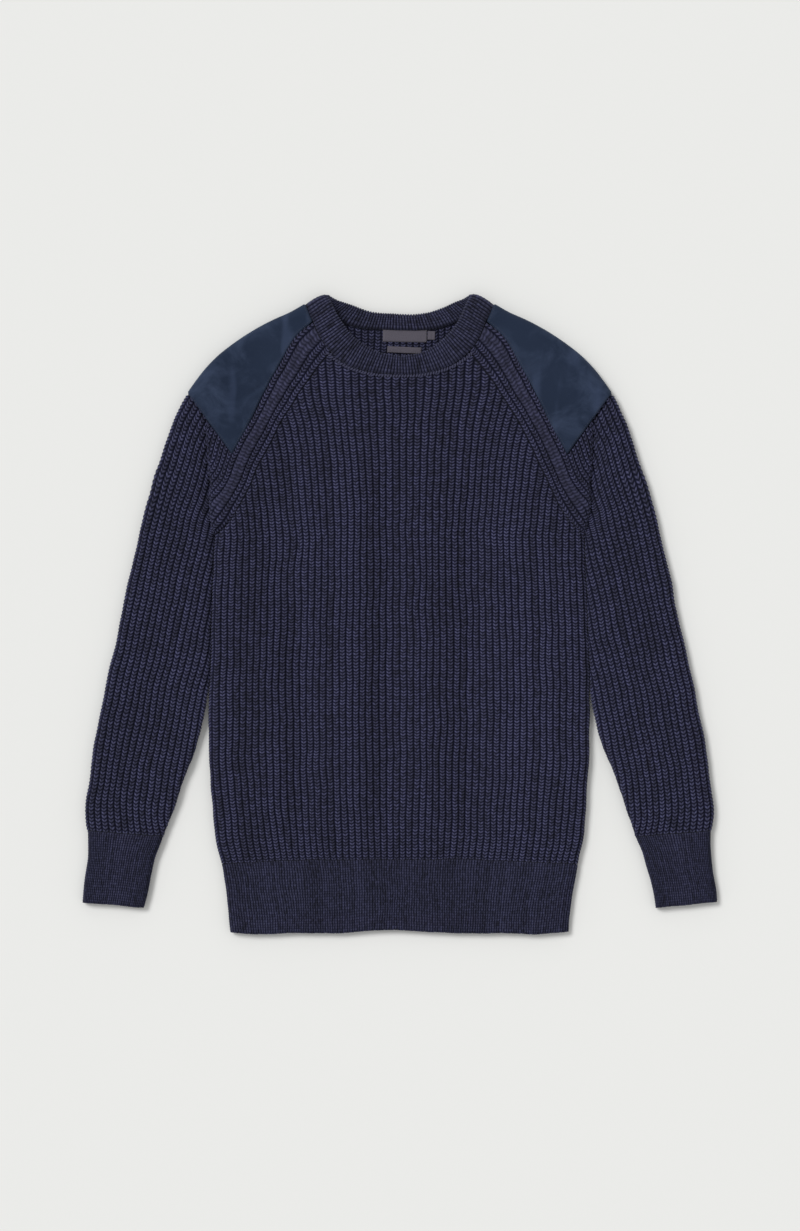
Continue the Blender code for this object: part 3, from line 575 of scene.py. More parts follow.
def woolMaterial(name, look):
    material, maker, feed = newMaterial(name, {"Roughness": look["roughness"], **look["sheen"]})
    rib, course, fade, plain = maker.facts("rib", "course", "fade", "plain")
    away = abs(rib.math("FRACT") - 0.5) * 2.0
    place = maker.node("ShaderNodeTexCoord", (), (), "Object")
    scales, fainter = look["scales"], look["plain"]
    fibres = maker.noise(place, scales["fibres"], 3.0, {"Roughness": 0.7})
    cloudy = maker.noise(place, scales["clouds"], 3.0)
    # painted shade in the rib valleys
    valley = maker.fade(away, *look["valleyShadeAt"]) * (1.0 - fainter["valley"] * plain)
    wobble = maker.noise(place, scales["wobble"], 1.0)
    course = course + (wobble - 0.5) * look["wobble"]
    groove = 0.5 - 0.5 * (course * (2 * math.pi)).math("COSINE")
    # painted shade in the parting between a stitch's legs and in the gaps between stitches
    partingShade = (1.0 - maker.fade(away, *look["partingShadeAt"])) * (1.0 - plain) * look["partingShade"]
    gap = maker.fade(groove, *look["gapShadeAt"]) * (1.0 - fainter["gap"] * plain) * look["gap"]
    # each stitch has a shade of its own, and each rib a fainter one
    stitchPlace = maker.node("ShaderNodeCombineXYZ", (), {
        "X": (rib * 2.0).math("FLOOR"), "Y": (course + 0.5).math("FLOOR")})
    ribPlace = maker.node("ShaderNodeCombineXYZ", (), {"X": rib.math("FLOOR"), "Y": 7.0})
    chance, ribChance = (
        maker.node("ShaderNodeTexWhiteNoise", {"noise_dimensions": "2D"}, {"Vector": at})
        for at in (stitchPlace, ribPlace))
    # the leg colour where no painted shade falls, and the valley colour as painted shade everywhere else
    unshadedYarn = (1.0 - valley) * (1.0 - gap) * (1.0 - partingShade)
    stitches = maker.blend(unshadedYarn, look["valley"], look["leg"])
    flecks = maker.fade(fibres, *look["fleckAt"]) * look["heather"] * unshadedYarn
    flecked = maker.blend(flecks, stitches, look["light"])
    # painted shade: darker along seams and edges, where the ribs sink, and on inner faces
    seamShading = maker.fade(fade, 0.0, 0.9, look["seamShade"], 1.0)
    uneven = 1.0 + (chance - 0.5) * look["uneven"] + (ribChance - 0.5) * (look["uneven"] * 0.4)
    darkest, spread = look["cloudy"]
    shade = uneven * seamShading * (darkest + spread * cloudy) * (1.0 - fainter["shade"] * plain)
    feed("Base Color", maker.scaled(flecked, shade))
    legs = (1.0 - groove) * (1.0 - 0.8 * valley)
    middle = 1.0 - maker.fade(away, 0.0, 0.2)
    height = legs * 0.8 - middle * (1.0 - plain) * 0.6 + (fibres - 0.5) * 0.6
    feed("Normal", maker.bump(1.0, look["bump"], height))
    return material


reliefTree = knitReliefTree()
navyWool = woolMaterial("navy_wool_knit", woolLook)
navyWelt = woolMaterial("navy_welt_knit", weltLook)
print("materials and relief ready")


def finished(piece, slot, *nodes):
    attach(piece, "root")
    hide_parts(*nodes)
    return piece


panel = {
    "chevron": 2.0,
    "sideFade": 0.45,  # in ribs
    "relief": {"Rib Depth": 2.3, "Stitch Rise": 1.0, "Centre Groove": 0.5, "Unevenness": 0.3},
    "insideRows": 28,
    "insideShort": 0.7,  # how far the inner face ends before the outer one
    "insideLift": 0.8,
    # the back's whole ribs inside the neck: how many, how far down, and the plain rows below them
    "insideRibs": 13,
    "insideReach": 58.0,
    "plainRows": 12,
    "plainStep": 4.0,
    "firstNumber": -1000.0,  # plain rows are numbered from here, below every row of stitches
}


def bodyPanel(name, lower):
    knit = Knit()
    reach = garment["ribsPerSide"]
    ribs = np.array(ribPlaces(-reach, reach) + [reach], float)
    pitch = garment["stitch"] / 2
    lift = 0.0 if lower else garment["ribRise"]
    dip = garment["seamDip"]

    def feetOf(ribs):
        nearHem = bodyPoint(ribs, garment["nearHem"], 0.0, lower)
        return hemSeam(nearHem[:, 0]) + garment["seamGap"] * garment["hemShare"]

    outer = []
    for rib, foot, end in zip(ribs, feetOf(ribs), endOfRib(ribs, lower)):
        places, numbers = courseRows(end - foot, pitch, chevron(rib % 1.0, panel["chevron"]))
        fade = smoothStep(places / dip) * smoothStep((end - foot - places) / dip)
        fade = fade * smoothStep((reach - abs(rib)) / panel["sideFade"])
        points = bodyPoint(rib, foot + places, 0.0, lower)
        outer.append((knit.line(points, rib, numbers / 2, lift, fade), list(numbers)))
    coarse = np.array([-reach, 0.5 - reach, *range(1 - reach, reach), reach - 0.5, reach], float)
    shown, depth = panel["insideRibs"], panel["insideReach"]
    if lower:  # the inside of the back shows at the neck, so its ribs are whole there
        coarse = np.concatenate([coarse[np.abs(coarse) >= shown], ribPlaces(-shown, shown)])
    coarse = np.unique(coarse)
    inner = []
    for rib, foot, end in zip(coarse, feetOf(coarse), endOfRib(coarse, lower) - panel["insideShort"]):
        y = np.linspace(foot, end, panel["insideRows"])
        numbers, course, fade = np.arange(len(y)) + panel["firstNumber"], (y - foot) / pitch / 2, 0 * y
        if lower and abs(rib) < shown:
            places, rows = courseRows(depth, pitch, chevron(rib % 1.0, panel["chevron"]))
            start, plain = end - depth, np.zeros(panel["plainRows"])
            y = np.concatenate([np.linspace(foot, start - panel["plainStep"], len(plain)), start + places])
            numbers = np.concatenate([np.arange(len(plain)) + panel["firstNumber"], rows])
            course = np.concatenate([plain, rows / 2])
            fade = smoothStep(places / panel["plainStep"]) * smoothStep((depth - places) / 2)
            fade = np.concatenate([plain, fade]) * smoothStep((shown - abs(rib)) / 0.6)
        points = bodyPoint(rib, y, -garment["cloth"], lower)
        inner.append((knit.line(points, rib, course, panel["insideLift"], fade), list(numbers)))
    knit.wall(outer, inner, list(ribs), list(coarse))
    return grown(knit.made(name), reliefTree, {**panel["relief"], "Material": navyWool})


front = finished(bodyPanel("ribbed_front", False), "navy_wool", "front_panel")
back = finished(bodyPanel("ribbed_back", True), "navy_wool", "back_panel")
print("front and back:", len(front.data.polygons), len(back.data.polygons))

sleeve = {
    "ribs": 14,
    "bandRibs": 5,
    "ribPitch": 6.95,
    "stitch": 3.9,
    "chevron": 2.5,
    "relief": {"Rib Depth": 2.4, "Stitch Rise": 1.1, "Centre Groove": 0.5, "Unevenness": 0.3},
    "roll": 8.0,  # rounding at seam and fold, never more than a share of the width
    "rollShare": 0.3,
    "foldRise": 0.8,
    "beyondFold": 6.0,
    "headGap": (0.45, 0.5, 320.0, 10.0),  # to the neckband: least, what is added, from which y, over what run
    "headBand": (0.7, 0.45),  # the raglan band's share of the head, in front and behind
    "backBand": 0.6,
    "bandEnd": 11,  # sections: the band keeps its width after this one
    "patchEnd": 8.0,
    "shortest": 0.12,  # a rib that spans less of a section is left out
    "headFade": 0.2,
    "seamEnd": 13.1,
    "mostSlant": 0.75,
    # how far the ribs that run with the shoulder fold reach in from it, at sections 0 to 13
    "foldReach": [22, 24, 27, 29, 31, 33, 35, 37, 39, 63, 76, 80, 82.5, 85],
    "creased": (7.7, 0.4, 13.2, 0.7),  # where the crease begins and ends, each with its run, in sections
    "deepening": (0.35, 0.65, 8.0, 2.0),  # its depth at first, what is added, from where, over what run
    "creaseDip": 5.7,
    "creaseWide": (9.0, 17.0),  # right and left
    "creaseRoll": 6.0,
    "tuck": 4.0,
    "tuckDip": 1.5,
    "insideDip": 0.4,  # the inner face takes this share of the dip
    "crowd": 7.0,  # over this much beside the crease the ribs crowd
    "crowdReach": 1.3,
    "strip": (2.0, 4.0, 0.15),  # the plain strip's two edges, in ribs from the seam, and their softness
    "stripEnd": (11.5, 1.5),
    "stripChevron": 0.55,
    "underPatch": (8.04, 8.16, 0.12),  # between which sections the ribs rise from under the patch
    "patchRib": 4.95,
    "edgeFill": 1.7,
    "insideStep": 14.0,
    "insideFold": [-1.2, -0.6, 0.6, 1.2],
    "measured": (6, 2.5),  # the ribs along which the stitches of the two families are counted
    "parts": 140,
    "steps": 20,  # of the surface, in each section
}
bandShare = sleeve["bandRibs"] / sleeve["ribs"]
lastRow = len(sleeveRows) - 1


def sleevePath(index, lower):
    seamX, seamY, bandX, bandY, foldX, foldY, backX, backY, _ = sleeveRows[index]
    fold = (foldX, foldY)
    if index == 0:
        at = np.array([10.6, 10.2, 9.8, 9.4, 9.0] if lower else [4, 4.5, 5, 5.5, 6, 6.5, 7])
        seam, edge = bandHalf(at)
        away = (seam - edge)[:, :2]
        least, added, fromY, run = sleeve["headGap"]
        clear = least + added * smoothStep((seam[:, 1:2] - fromY) / run)
        path = seam[:, :2] + away / np.linalg.norm(away, axis=1)[:, None] * clear
        return np.vstack([path, fold]), sleeve["headBand"][int(lower)]
    seam = np.array([seamX + garment["seamGap"] * garment["raglanShare"], seamY])
    band = np.array([bandX, bandY])
    if lower:
        seam = seam + (backX, backY)
        band = band + (sleeve["backBand"] * backX, sleeve["backBand"] * backY)
    if bandX == 0:
        return np.array([seam, fold]), None
    first, second = math.dist(seam, band), math.dist(band, fold)
    return np.array([seam, band, fold]), first / (first + second)


# a section's path, its width, the radius of its roundings, their lengths at fold and seam, the length
# of the whole and the length to the band's end
def sleeveSection(index, lower):
    path, band = sleevePath(index, lower)
    wide = np.linalg.norm(np.diff(path, axis=0), axis=1).sum()
    roll = min(sleeve["roll"], wide * sleeve["rollShare"])
    arc = quarterLength(roll, garment["sideHeight"] + sleeve["foldRise"])
    seamArc = mix(arc, roll, flatness(sleeveRows[index][1]))
    total = seamArc + wide - 2 * roll + arc
    toBand = bandShare * total if band is None else wide * band - roll + seamArc
    return path, wide, roll, arc, seamArc, total, toBand


def sleeveLine(side, index, part, rise, lower):  # a section's points, part 0 at its seam to 1 at the fold
    path, wide, roll, arc, seamArc, total, toBand = sleeveSection(index, lower)
    flat = flatness(sleeveRows[index][1])
    over = part * total
    share = np.where(over < toBand, over / toBand * bandShare,
                     bandShare + (over - toBand) / (total - toBand) * (1 - bandShare))
    turn = math.pi / 2 * np.clip(over / seamArc, 0, 1)
    bump = rise * smoothStep(turn / 0.35) if rise > 0 else rise
    rolled = np.maximum(roll - (roll + bump) * np.cos(turn), 0.0)
    atSeam = over < seamArc
    place = np.where(atSeam, mix(rolled, roll * over / seamArc, flat), roll + over - seamArc)
    lift = np.where(atSeam, mix(np.sin(turn), 1.0, flat), 1.0)
    turn = math.pi / 2 * np.clip((total - over) / arc, 0, 1)
    atFold = total - over < arc
    place = np.where(atFold, wide - roll + (roll + rise) * np.cos(turn), place)
    lift = np.where(atFold, np.sin(turn), lift)
    steps = np.linalg.norm(np.diff(path, axis=0), axis=1)
    beyond = sleeve["beyondFold"]
    lengths = np.concatenate([[0], np.cumsum(steps), [wide + beyond]])
    path = np.vstack([path, path[-1] + (path[-1] - path[-2]) / steps[-1] * beyond])
    x, y = (np.interp(place, lengths, path[:, k]) for k in (0, 1))
    under = sleeveRows[index][8]
    base = under * smoothStep(share / bandShare)
    middle = garment["sideHeight"] + under / 2 * smoothStep((share - 0.5) / 0.3)
    if lower:
        middle = middle - garment["seamGap"] * (share < 0.5)
        z = middle - (middle - base + rise) * lift
    else:
        z = middle + (topHeight(side * x, y) + rise - middle) * lift
    return np.stack([side * x, y, z], -1)


def sleeveSurface(side, rise, lower):  # the sleeve's face, by section and by part of the way across
    count, steps = sleeve["parts"], sleeve["steps"]
    parts, fineRows = np.linspace(0, 1, count + 1), np.linspace(0, lastRow, steps * lastRow + 1)
    rows = np.arange(lastRow + 1)
    table = np.array([sleeveLine(side, index, parts, rise, lower) for index in rows])
    fine = np.stack([
        np.stack([along(rows, table[:, i, k], fineRows) for k in range(3)], -1)
        for i in range(len(parts))], 1)

    def at(section, part):
        i, j = np.clip(section * steps, 0, steps * lastRow - 1e-6), np.clip(part * count, 0, count - 1e-6)
        a, b = i.astype(int), j.astype(int)
        p, q = (i - a)[:, None], (j - b)[:, None]
        return mix(mix(fine[a, b], fine[a + 1, b], p), mix(fine[a, b + 1], fine[a + 1, b + 1], p), q)

    return at


# what the knit needs to know at each place down the sleeve, worked out once
rowNumbers = np.arange(lastRow + 1)
sections = np.linspace(0, lastRow, 100 * lastRow + 1)
sectionSizes = {lower: [sleeveSection(i, lower) for i in rowNumbers] for lower in (False, True)}
wholeAt, bandAt = (
    {lower: along(rowNumbers, [sizes[k] for sizes in sectionSizes[lower]], sections)
     for lower in (False, True)}
    for k in (5, 6))
foldRun = np.gradient(sleeveRows[:, 4:6], axis=0)
sectionRun = np.array([sizes[0][-1] - sizes[0][-2] for sizes in sectionSizes[False]])
slant = np.abs(foldRun[:, 0] * sectionRun[:, 1] - foldRun[:, 1] * sectionRun[:, 0])
slant = slant / np.linalg.norm(foldRun, axis=1) / np.linalg.norm(sectionRun, axis=1)
foldPitch = sleeve["ribPitch"] / along(rowNumbers, np.clip(slant, sleeve["mostSlant"], 1.0), sections)
lastBand = np.interp(sleeve["bandEnd"], sections, bandAt[False])
bandPitch = np.where(sections < sleeve["bandEnd"], bandAt[False], lastBand) / sleeve["bandRibs"]
everything = 999.0
reachRows = [*range(underarmRow + 1), underarmRow + 1.0, lastRow]
foldReach = np.interp(sections, reachRows, [*sleeve["foldReach"], everything, everything])
foldReach = np.minimum(foldReach, wholeAt[False])
creaseFrom, creaseIn, creaseTo, creaseOut = sleeve["creased"]
creased = smoothStep((sections - creaseFrom) / creaseIn) * smoothStep((creaseTo - sections) / creaseOut)
shallow, deeper, deepFrom, deepRun = sleeve["deepening"]
creaseDepth = creased * (shallow + deeper * smoothStep((sections - deepFrom) / deepRun))


def atSection(values, section):
    return np.interp(section, sections, values)


def reachOf(rib, reach):  # the first and last section that a rib reaches, or None
    inside = sections[reach >= rib]
    return (inside[0], inside[-1]) if len(inside) and inside[-1] - inside[0] > sleeve["shortest"] else None


def runLengths(surface, parts, first, last):  # places from the last section back, and the distance to each
    places = sections[(sections >= first) & (sections <= last)][::-1]
    return places, runAlong(surface(places, atSection(parts, places)))


def crowded(place, limit):  # ribs that would cross the crease crowd against it and run on beside it
    soft = sleeve["crowd"]
    past = place - (limit - soft)
    return np.where(past > 0, limit - soft * np.exp(-np.maximum(past, 0) / soft), place)


def makeSleeve(name, side, material):
    knit = Knit()
    faces = {(rise, lower): sleeveSurface(side, rise, lower)
             for rise in (0.0, -garment["cloth"]) for lower in (False, True)}
    pitch = sleeve["stitch"] / 2
    dip, roll, wide = sleeve["creaseDip"], sleeve["creaseRoll"], sleeve["creaseWide"][int(side > 0)]

    def addFamily(ribs, reach, lengthOf, pointsAt, liftAt, plainAt):
        places, lengths = lengthOf
        stripEnd, stripRun = sleeve["stripEnd"]
        lines = {}
        for layer, chosen in (("outer", ribs[0]), ("inner", ribs[1])):
            lines[layer], kept = [], []
            for rib in chosen:
                found = reachOf(abs(rib), reach[int(rib < 0)])
                if not found:
                    continue
                low, high = (np.interp(-s, -places, lengths) for s in (found[1], found[0]))
                strip = plainAt(rib)
                if layer == "outer":
                    shift = chevron(rib % 1.0, sleeve["chevron"]) * (1 - sleeve["stripChevron"] * strip)
                    at, numbers = courseRows(high - low, pitch, shift - low % pitch)
                    at = at + low
                    numbers = numbers + low // pitch
                    course = numbers / 2
                else:
                    at = np.linspace(low, high, max(3, int((high - low) / sleeve["insideStep"]) + 2))
                    numbers = (at - low) / max(high - low, 1e-6)
                    course = at / pitch / 2
                section = np.interp(at, lengths, places)
                points, edge = pointsAt(rib, section, layer == "inner")
                fade = smoothStep(edge / garment["seamDip"]) * smoothStep(section / sleeve["headFade"])
                fade = fade * smoothStep((at - lengths[0]) / garment["seamDip"])
                lift, plain = liftAt(rib, section), strip * smoothStep((stripEnd - section) / stripRun)
                if layer == "inner":
                    lift, fade = 0 * at, 0 * at
                lines[layer].append((knit.line(points, rib, course, lift, fade, plain), list(numbers)))
                kept.append(float(rib))
            lines[layer + "Ribs"] = kept
        knit.wall(lines["outer"], lines["inner"], lines["outerRibs"], lines["innerRibs"])

    def withFold(rib, section, inner):  # ribs that run with the shoulder fold, counted from it
        lower = rib < 0
        whole, pitchHere = atSection(wholeAt[lower], section), atSection(foldPitch, section)
        inward = abs(rib) * pitchHere
        points = faces[(-garment["cloth"] if inner else 0.0, lower)](section, 1 - inward / whole)
        edge = (whole if lower else atSection(foldReach, section)) - inward
        if not lower:
            weight = atSection(creaseDepth, section)
            points[:, 2] -= weight * dip * np.exp(-((np.maximum(edge, 0) / wide) ** 2))
        return points, edge

    def withSeam(rib, section, inner):  # ribs that run with the raglan seam, counted from it
        whole, weight = atSection(wholeAt[False], section), atSection(creased, section)
        limit = whole - atSection(foldReach, section) + sleeve["tuck"] * weight
        inward = crowded(rib * atSection(bandPitch, section), limit)
        points = faces[(-garment["cloth"] if inner else 0.0, False)](section, inward / whole)
        edge = limit - inward
        bent = 1 - np.sqrt(np.clip(1 - (1 - np.clip(edge / roll, 0, 1)) ** 2, 0, 1))
        depth, share = (dip, sleeve["insideDip"]) if inner else (dip + sleeve["tuckDip"], 1.0)
        points[:, 2] -= atSection(creaseDepth, section) * depth * bent * share
        return points, np.minimum(edge * 2, inward * 1.4)

    rising, risen, run = sleeve["underPatch"]

    def foldLift(rib, section):
        under = smoothStep((0.4 - rib) / 0.8)
        return garment["ribRise"] * (1 - under) * smoothStep((section - rising) / run)

    def seamLift(rib, section):
        covered = smoothStep((rib - sleeve["patchRib"]) / run) * smoothStep((risen - section) / run)
        filled = sleeve["edgeFill"] * (abs(rib - 5) < 0.1)  # the valley under the patch's edge
        return garment["ribRise"] * (1 - covered) + filled

    def plainStrip(rib):
        first, last, soft = sleeve["strip"]
        return float(smoothStep((rib - first) / soft) * smoothStep((last - rib) / soft))

    foldRibs = foldReach / foldPitch
    backRibs = wholeAt[True] / foldPitch
    most, least = math.floor(foldRibs.max()), math.floor(backRibs.max())
    fine = np.array(ribPlaces(-least, most) + [most], float)
    coarse = np.concatenate([np.linspace(-least, 0, 8), sleeve["insideFold"], np.linspace(0, most, 12)])
    fromFold, fromSeam = sleeve["measured"]
    middle = runLengths(faces[(0.0, False)], 1 - fromFold * foldPitch / wholeAt[False], 0, lastRow)
    addFamily((fine, np.unique(coarse)), (foldRibs, backRibs), middle, withFold, foldLift, lambda rib: 0.0)
    room = wholeAt[False] - foldReach + sleeve["tuck"] * creased
    room = room + sleeve["crowdReach"] * sleeve["crowd"] * creased
    seamRibs = np.where(sections <= sleeve["seamEnd"], room / bandPitch, -1.0)
    most = math.floor(seamRibs.max())
    fine = np.array(ribPlaces(0, most) + [most], float)
    middle = runLengths(faces[(0.0, False)], fromSeam * bandPitch / wholeAt[False], 0, sleeve["seamEnd"])
    addFamily((fine, np.linspace(0, most, 9)), (seamRibs, seamRibs), middle, withSeam, seamLift, plainStrip)
    return grown(knit.made(name), reliefTree, {**sleeve["relief"], "Material": material})


def alongColumn(lengths, column, places):
    return np.stack([along(lengths, column[::-1, k], places) for k in range(3)], -1)


patch = {
    "thick": 1.5,
    "across": 84,
    "along": 92,
    "start": 0.02,
    "edgeRound": 1.6,
    "edgeThin": 0.35,  # how much of its thickness is left at its edge
    "overlap": (2.4, 1.6, 1.0, 3.0),  # at the neck, how much less below it, from where, over what run
    "measuredAt": 0.4,  # across, where its length is measured
    "seamInset": 2.0,
    "seamRise": -0.08,
    # soft creases in the right one: both ends as section and share across, half width, rise
    "creases": [(4.1, 0.03, 5.3, 0.22, 2.2, -0.9), (4.4, 0.02, 5.7, 0.20, 3.0, 0.7),
                (5.8, 0.10, 7.6, 0.55, 6.0, 0.8), (2.2, 0.25, 5.4, 0.62, 9.0, -0.6),
                (6.6, 0.42, 7.9, 0.80, 5.0, -0.7)],
}


def patchSurface(side, rise):  # across runs from 0 at the band to 1 at the fold and 2 at the band behind
    faces = [sleeveSurface(side, rise, lower) for lower in (False, True)]

    def at(section, across):
        most, less, fromRow, run = patch["overlap"]
        over = most - less * smoothStep((section - fromRow) / run)
        points = []
        for lower, face in zip((False, True), faces):
            whole = atSection(wholeAt[lower], section)
            start = atSection(bandAt[lower] / wholeAt[lower], section) - over / whole
            share = across - 1 if lower else 1 - across
            points.append(face(section, 1 - np.clip(share, 0, 1) * (1 - start)))
        return np.where((across <= 1)[:, None], points[0], points[1])

    return at


def patchRows(surface, count):  # places down the patch, and the distance to each
    rows = np.linspace(patch["start"], sleeve["patchEnd"], count)
    return rows, runAlong(surface(rows, 0 * rows + patch["measuredAt"]))


def makePatch(name, side, material):
    knit = Knit()
    outside = patchSurface(side, patch["thick"] + garment["seamGap"])
    inside = patchSurface(side, garment["seamGap"])
    ribs = np.linspace(0, 2, patch["across"])
    rows, down = patchRows(outside, patch["along"])
    width = atSection(wholeAt[False] - bandAt[False], rows)
    lines = [[], []]
    for across in ribs:
        over, below = outside(rows, 0 * rows + across), inside(rows, 0 * rows + across)
        toEdge = np.minimum(np.minimum(down, down[-1] - down), min(across, 2 - across) * width)
        shape = patch["edgeThin"] + (1 - patch["edgeThin"]) * np.sqrt(smoothStep(toEdge / patch["edgeRound"]))
        for firstRow, firstAcross, endRow, endAcross, wide, rise in patch["creases"] if side < 0 else ():
            ends = outside(np.array([firstRow, endRow]), np.array([firstAcross, endAcross]))[:, :2]
            run = ends[1] - ends[0]
            length = np.linalg.norm(run)
            part = (over[:, :2] - ends[0]) @ run / length**2
            apart = np.abs((over[:, 0] - ends[0][0]) * run[1] - (over[:, 1] - ends[0][1]) * run[0]) / length
            bell = smoothStep((part + 0.15) / 0.35) * smoothStep((1.15 - part) / 0.35)
            bell = bell * np.exp(-((apart / wide) ** 2))
            over[:, 2] += rise * bell * smoothStep(toEdge / 4.0) * (across < 1)
        for line, points in ((lines[0], mix(below, over, shape[:, None])), (lines[1], below)):
            line.append((knit.line(points, across, down), list(range(len(rows)))))
    knit.wall(lines[0], lines[1], list(ribs), list(ribs))
    piece = knit.made(name)
    piece.data.materials.append(material)
    return piece


suedeLook = {
    "shader": {"Roughness": 0.95, "Sheen Weight": 0.15, "Sheen Roughness": 0.4,
               "Sheen Tint": (0.55, 0.66, 0.9, 1), "Specular IOR Level": 0.15},
    "dark": (0.012, 0.020, 0.041, 1),
    "rubbed": (0.031, 0.045, 0.083, 1),
    "cloud": (0.020, 0.031, 0.060, 1),
    "streak": (0.040, 0.057, 0.108, 1),
    "scales": {"blotch": 27.0, "nap": 1700.0, "cloud": 11.0, "streak": 42.0},
    "bump": (0.7, 0.4),  # strength, and depth in millimetres
}


def suedeMaterial(look):
    material, maker, feed = newMaterial("blue_suede_nap", look["shader"])
    scales = look["scales"]
    place = maker.node("ShaderNodeTexCoord", (), (), "Object")
    blotch = maker.noise(place, scales["blotch"], 5.0, {"Roughness": 0.62, "Distortion": 0.8})
    nap = maker.noise(place, scales["nap"], 2.0)
    cloud = maker.noise(place, scales["cloud"], 2.0)
    tone = maker.blend(maker.fade(blotch, 0.4, 0.75), look["dark"], look["rubbed"])
    tone = maker.blend(maker.fade(cloud, 0.35, 0.7) * 0.4, tone, look["cloud"])
    drawn = maker.vector("MULTIPLY", place, (1.0, 0.3, 1.0))  # drawn out lengthways
    smear = maker.noise(drawn, scales["streak"], 2.0)
    tone = maker.blend(maker.fade(smear, 0.56, 0.74) * 0.5, tone, look["streak"])
    feed("Base Color", maker.scaled(tone, 0.75 + nap * 0.5))
    strength, depth = look["bump"]
    feed("Normal", maker.bump(strength, depth, nap * 0.35 + blotch * 0.5))
    return material


blueSuede = suedeMaterial(suedeLook)
for word, side in (("right", -1.0), ("left", 1.0)):
    sleevePiece = finished(makeSleeve(f"{word}_ribbed_sleeve", side, navyWool), "navy_wool", f"{word}_sleeve")
    patchPiece = finished(
        makePatch(f"{word}_suede_patch", side, blueSuede), "blue_suede", f"{word}_shoulder_patch")
    print(word, "sleeve:", len(sleevePiece.data.polygons), "patch:", len(patchPiece.data.polygons))

weltRelief = {"Rib Depth": 1.6, "Stitch Rise": 0.5, "Centre Groove": 0.0, "Unevenness": 0.12}
hem = {
    "ribs": 140,
    "roll": 6.0,
    "cloth": 3.2,
    "rise": 0.6,
    "stitch": 2.9,
    "chevron": 1.5,
    "relief": weltRelief,
    "half": 180.0,
    "nearEdge": -350.0,
    "sideFade": 0.01,
    "insideStep": 4,  # ribs from one line of the inner face to the next
    "insideRows": 8,
    "edgeX": [-187, -160, -70, -27, 20, 66, 149, 187],
    "edgeY": [-348.4, -350.4, -349.4, -346.6, -347.4, -349.6, -350.6, -348.6],
}


def hemPoint(share, y, rise, lower):
    share, y = np.broadcast_arrays(np.asarray(share, float), np.asarray(y, float))
    side = np.where(share < 0, -1.0, 1.0)
    height = topHeight(side * np.abs(share) * hem["half"], y)
    gap = garment["seamGap"] / 2
    edge = garment["sideHeight"] - gap
    arc = quarterLength(hem["roll"], edge + 0 * height if lower else height - edge)
    wide = halfWidthAt(y, seamLine)
    reach = wide - hem["roll"] + arc
    inRoll = (1 - np.abs(share)) * reach / arc
    turn = math.pi / 2 * np.minimum(inRoll, 1.0)
    rolled = wide - hem["roll"] + (hem["roll"] + rise) * np.cos(turn)
    x = np.where(inRoll > 1.0, np.abs(share) * reach, rolled)
    if lower:
        start = edge - gap
        z = start - (start + rise) * np.sin(turn)
    else:
        start = edge + gap
        z = start + (height + rise - start) * np.sin(turn)
    return np.stack([side * x, y, z], -1)


def weltFade(places, length):  # a welt's ribs sink in where it begins and at its seam
    return smoothStep(0.4 + places / 2.0) * smoothStep((length - places) / 2.5)


def makeHem(name, lower, material):
    knit = Knit()
    count = hem["ribs"]
    pitch = hem["stitch"] / 2

    def column(rib):
        share = rib / (count / 2) - 1
        low = along(hem["edgeX"], hem["edgeY"], hemPoint(share, hem["nearEdge"], 0.0, lower)[0])
        high = hemSeam(hemPoint(share, garment["nearHem"], 0.0, lower)[0])
        return share, low, high - garment["seamGap"] * garment["hemShare"]

    ribs = np.arange(2 * count + 1) / 2
    outer, inner = [], []
    for rib in ribs:
        share, low, high = column(rib)
        places, numbers = courseRows(high - low, pitch, chevron(rib % 1.0, hem["chevron"]))
        fade = weltFade(places, high - low) * smoothStep((1 - abs(share)) / hem["sideFade"])
        points = hemPoint(share, low + places, 0.0, lower)
        lift = 0.0 if lower else hem["rise"]
        outer.append((knit.line(points, rib, numbers / 2, lift, fade), list(numbers)))
    step = hem["insideStep"]
    coarse = np.concatenate([[0, 1, 2], np.arange(step, count - 3, step), [count - 2, count - 1, count]])
    coarse = coarse.astype(float)
    for rib in coarse:
        share, low, high = column(rib)
        y = np.linspace(low, high, hem["insideRows"])
        points = hemPoint(share, y, -hem["cloth"], lower)
        inner.append((knit.line(points, rib, (y - low) / hem["stitch"]), list(range(len(y)))))
    knit.wall(outer, inner, list(ribs), list(coarse))
    return grown(knit.made(name), reliefTree, {**hem["relief"], "Material": material})


hemFront = finished(makeHem("ribbed_hem_front", False, navyWelt), "navy_welt_wool", "hem_front")
hemBack = finished(makeHem("ribbed_hem_back", True, navyWelt), "navy_welt_wool", "hem_back")

cuff = {
    "ribs": 34,
    "roll": 6.5,
    "cloth": 3.2,
    "rise": 0.6,
    "stitch": 2.8,
    "chevron": 1.4,
    "relief": weltRelief,
    "evenness": 0.7,
    "insideStep": (3.4, 4.25),  # in ribs, on the upper and the lower face
    "insideRows": 8,
    "rows": np.array([(343.0, -236.9, 259.5, -243.1), (343.4, -256.0, 266.2, -260.5),
                      (347.6, -292.0, 276.0, -297.2), (349.4, -315.6, 281.0, -321.8)]),
}


def cuffLine(side, row, share, rise, lower):  # a row's points, share 0 at its inner edge to 1 at its outer
    outerX, outerY, innerX, innerY = row
    wide = math.hypot(outerX - innerX, outerY - innerY)
    reach = wide / 2 + rise
    across = mix(-reach * np.cos(math.pi * share), mix(-reach, reach, share), cuff["evenness"])
    inside = wide / 2 - np.abs(across)
    near = 1 - (inside + rise) / (cuff["roll"] + rise)
    lift = np.where(inside < cuff["roll"], np.sqrt(np.maximum(1 - near * near, 0.0)), 1.0)
    lift = np.where(np.minimum(share, 1 - share) == 0, 0.0, lift)
    x = mix(innerX, outerX, 0.5 + across / wide)
    y = mix(innerY, outerY, 0.5 + across / wide)
    top = along(heights["y"], heights["top"], y)
    height = -(top / 2 + rise) if lower else top / 2 + rise
    return np.stack([side * x, y, top / 2 + height * lift], -1)


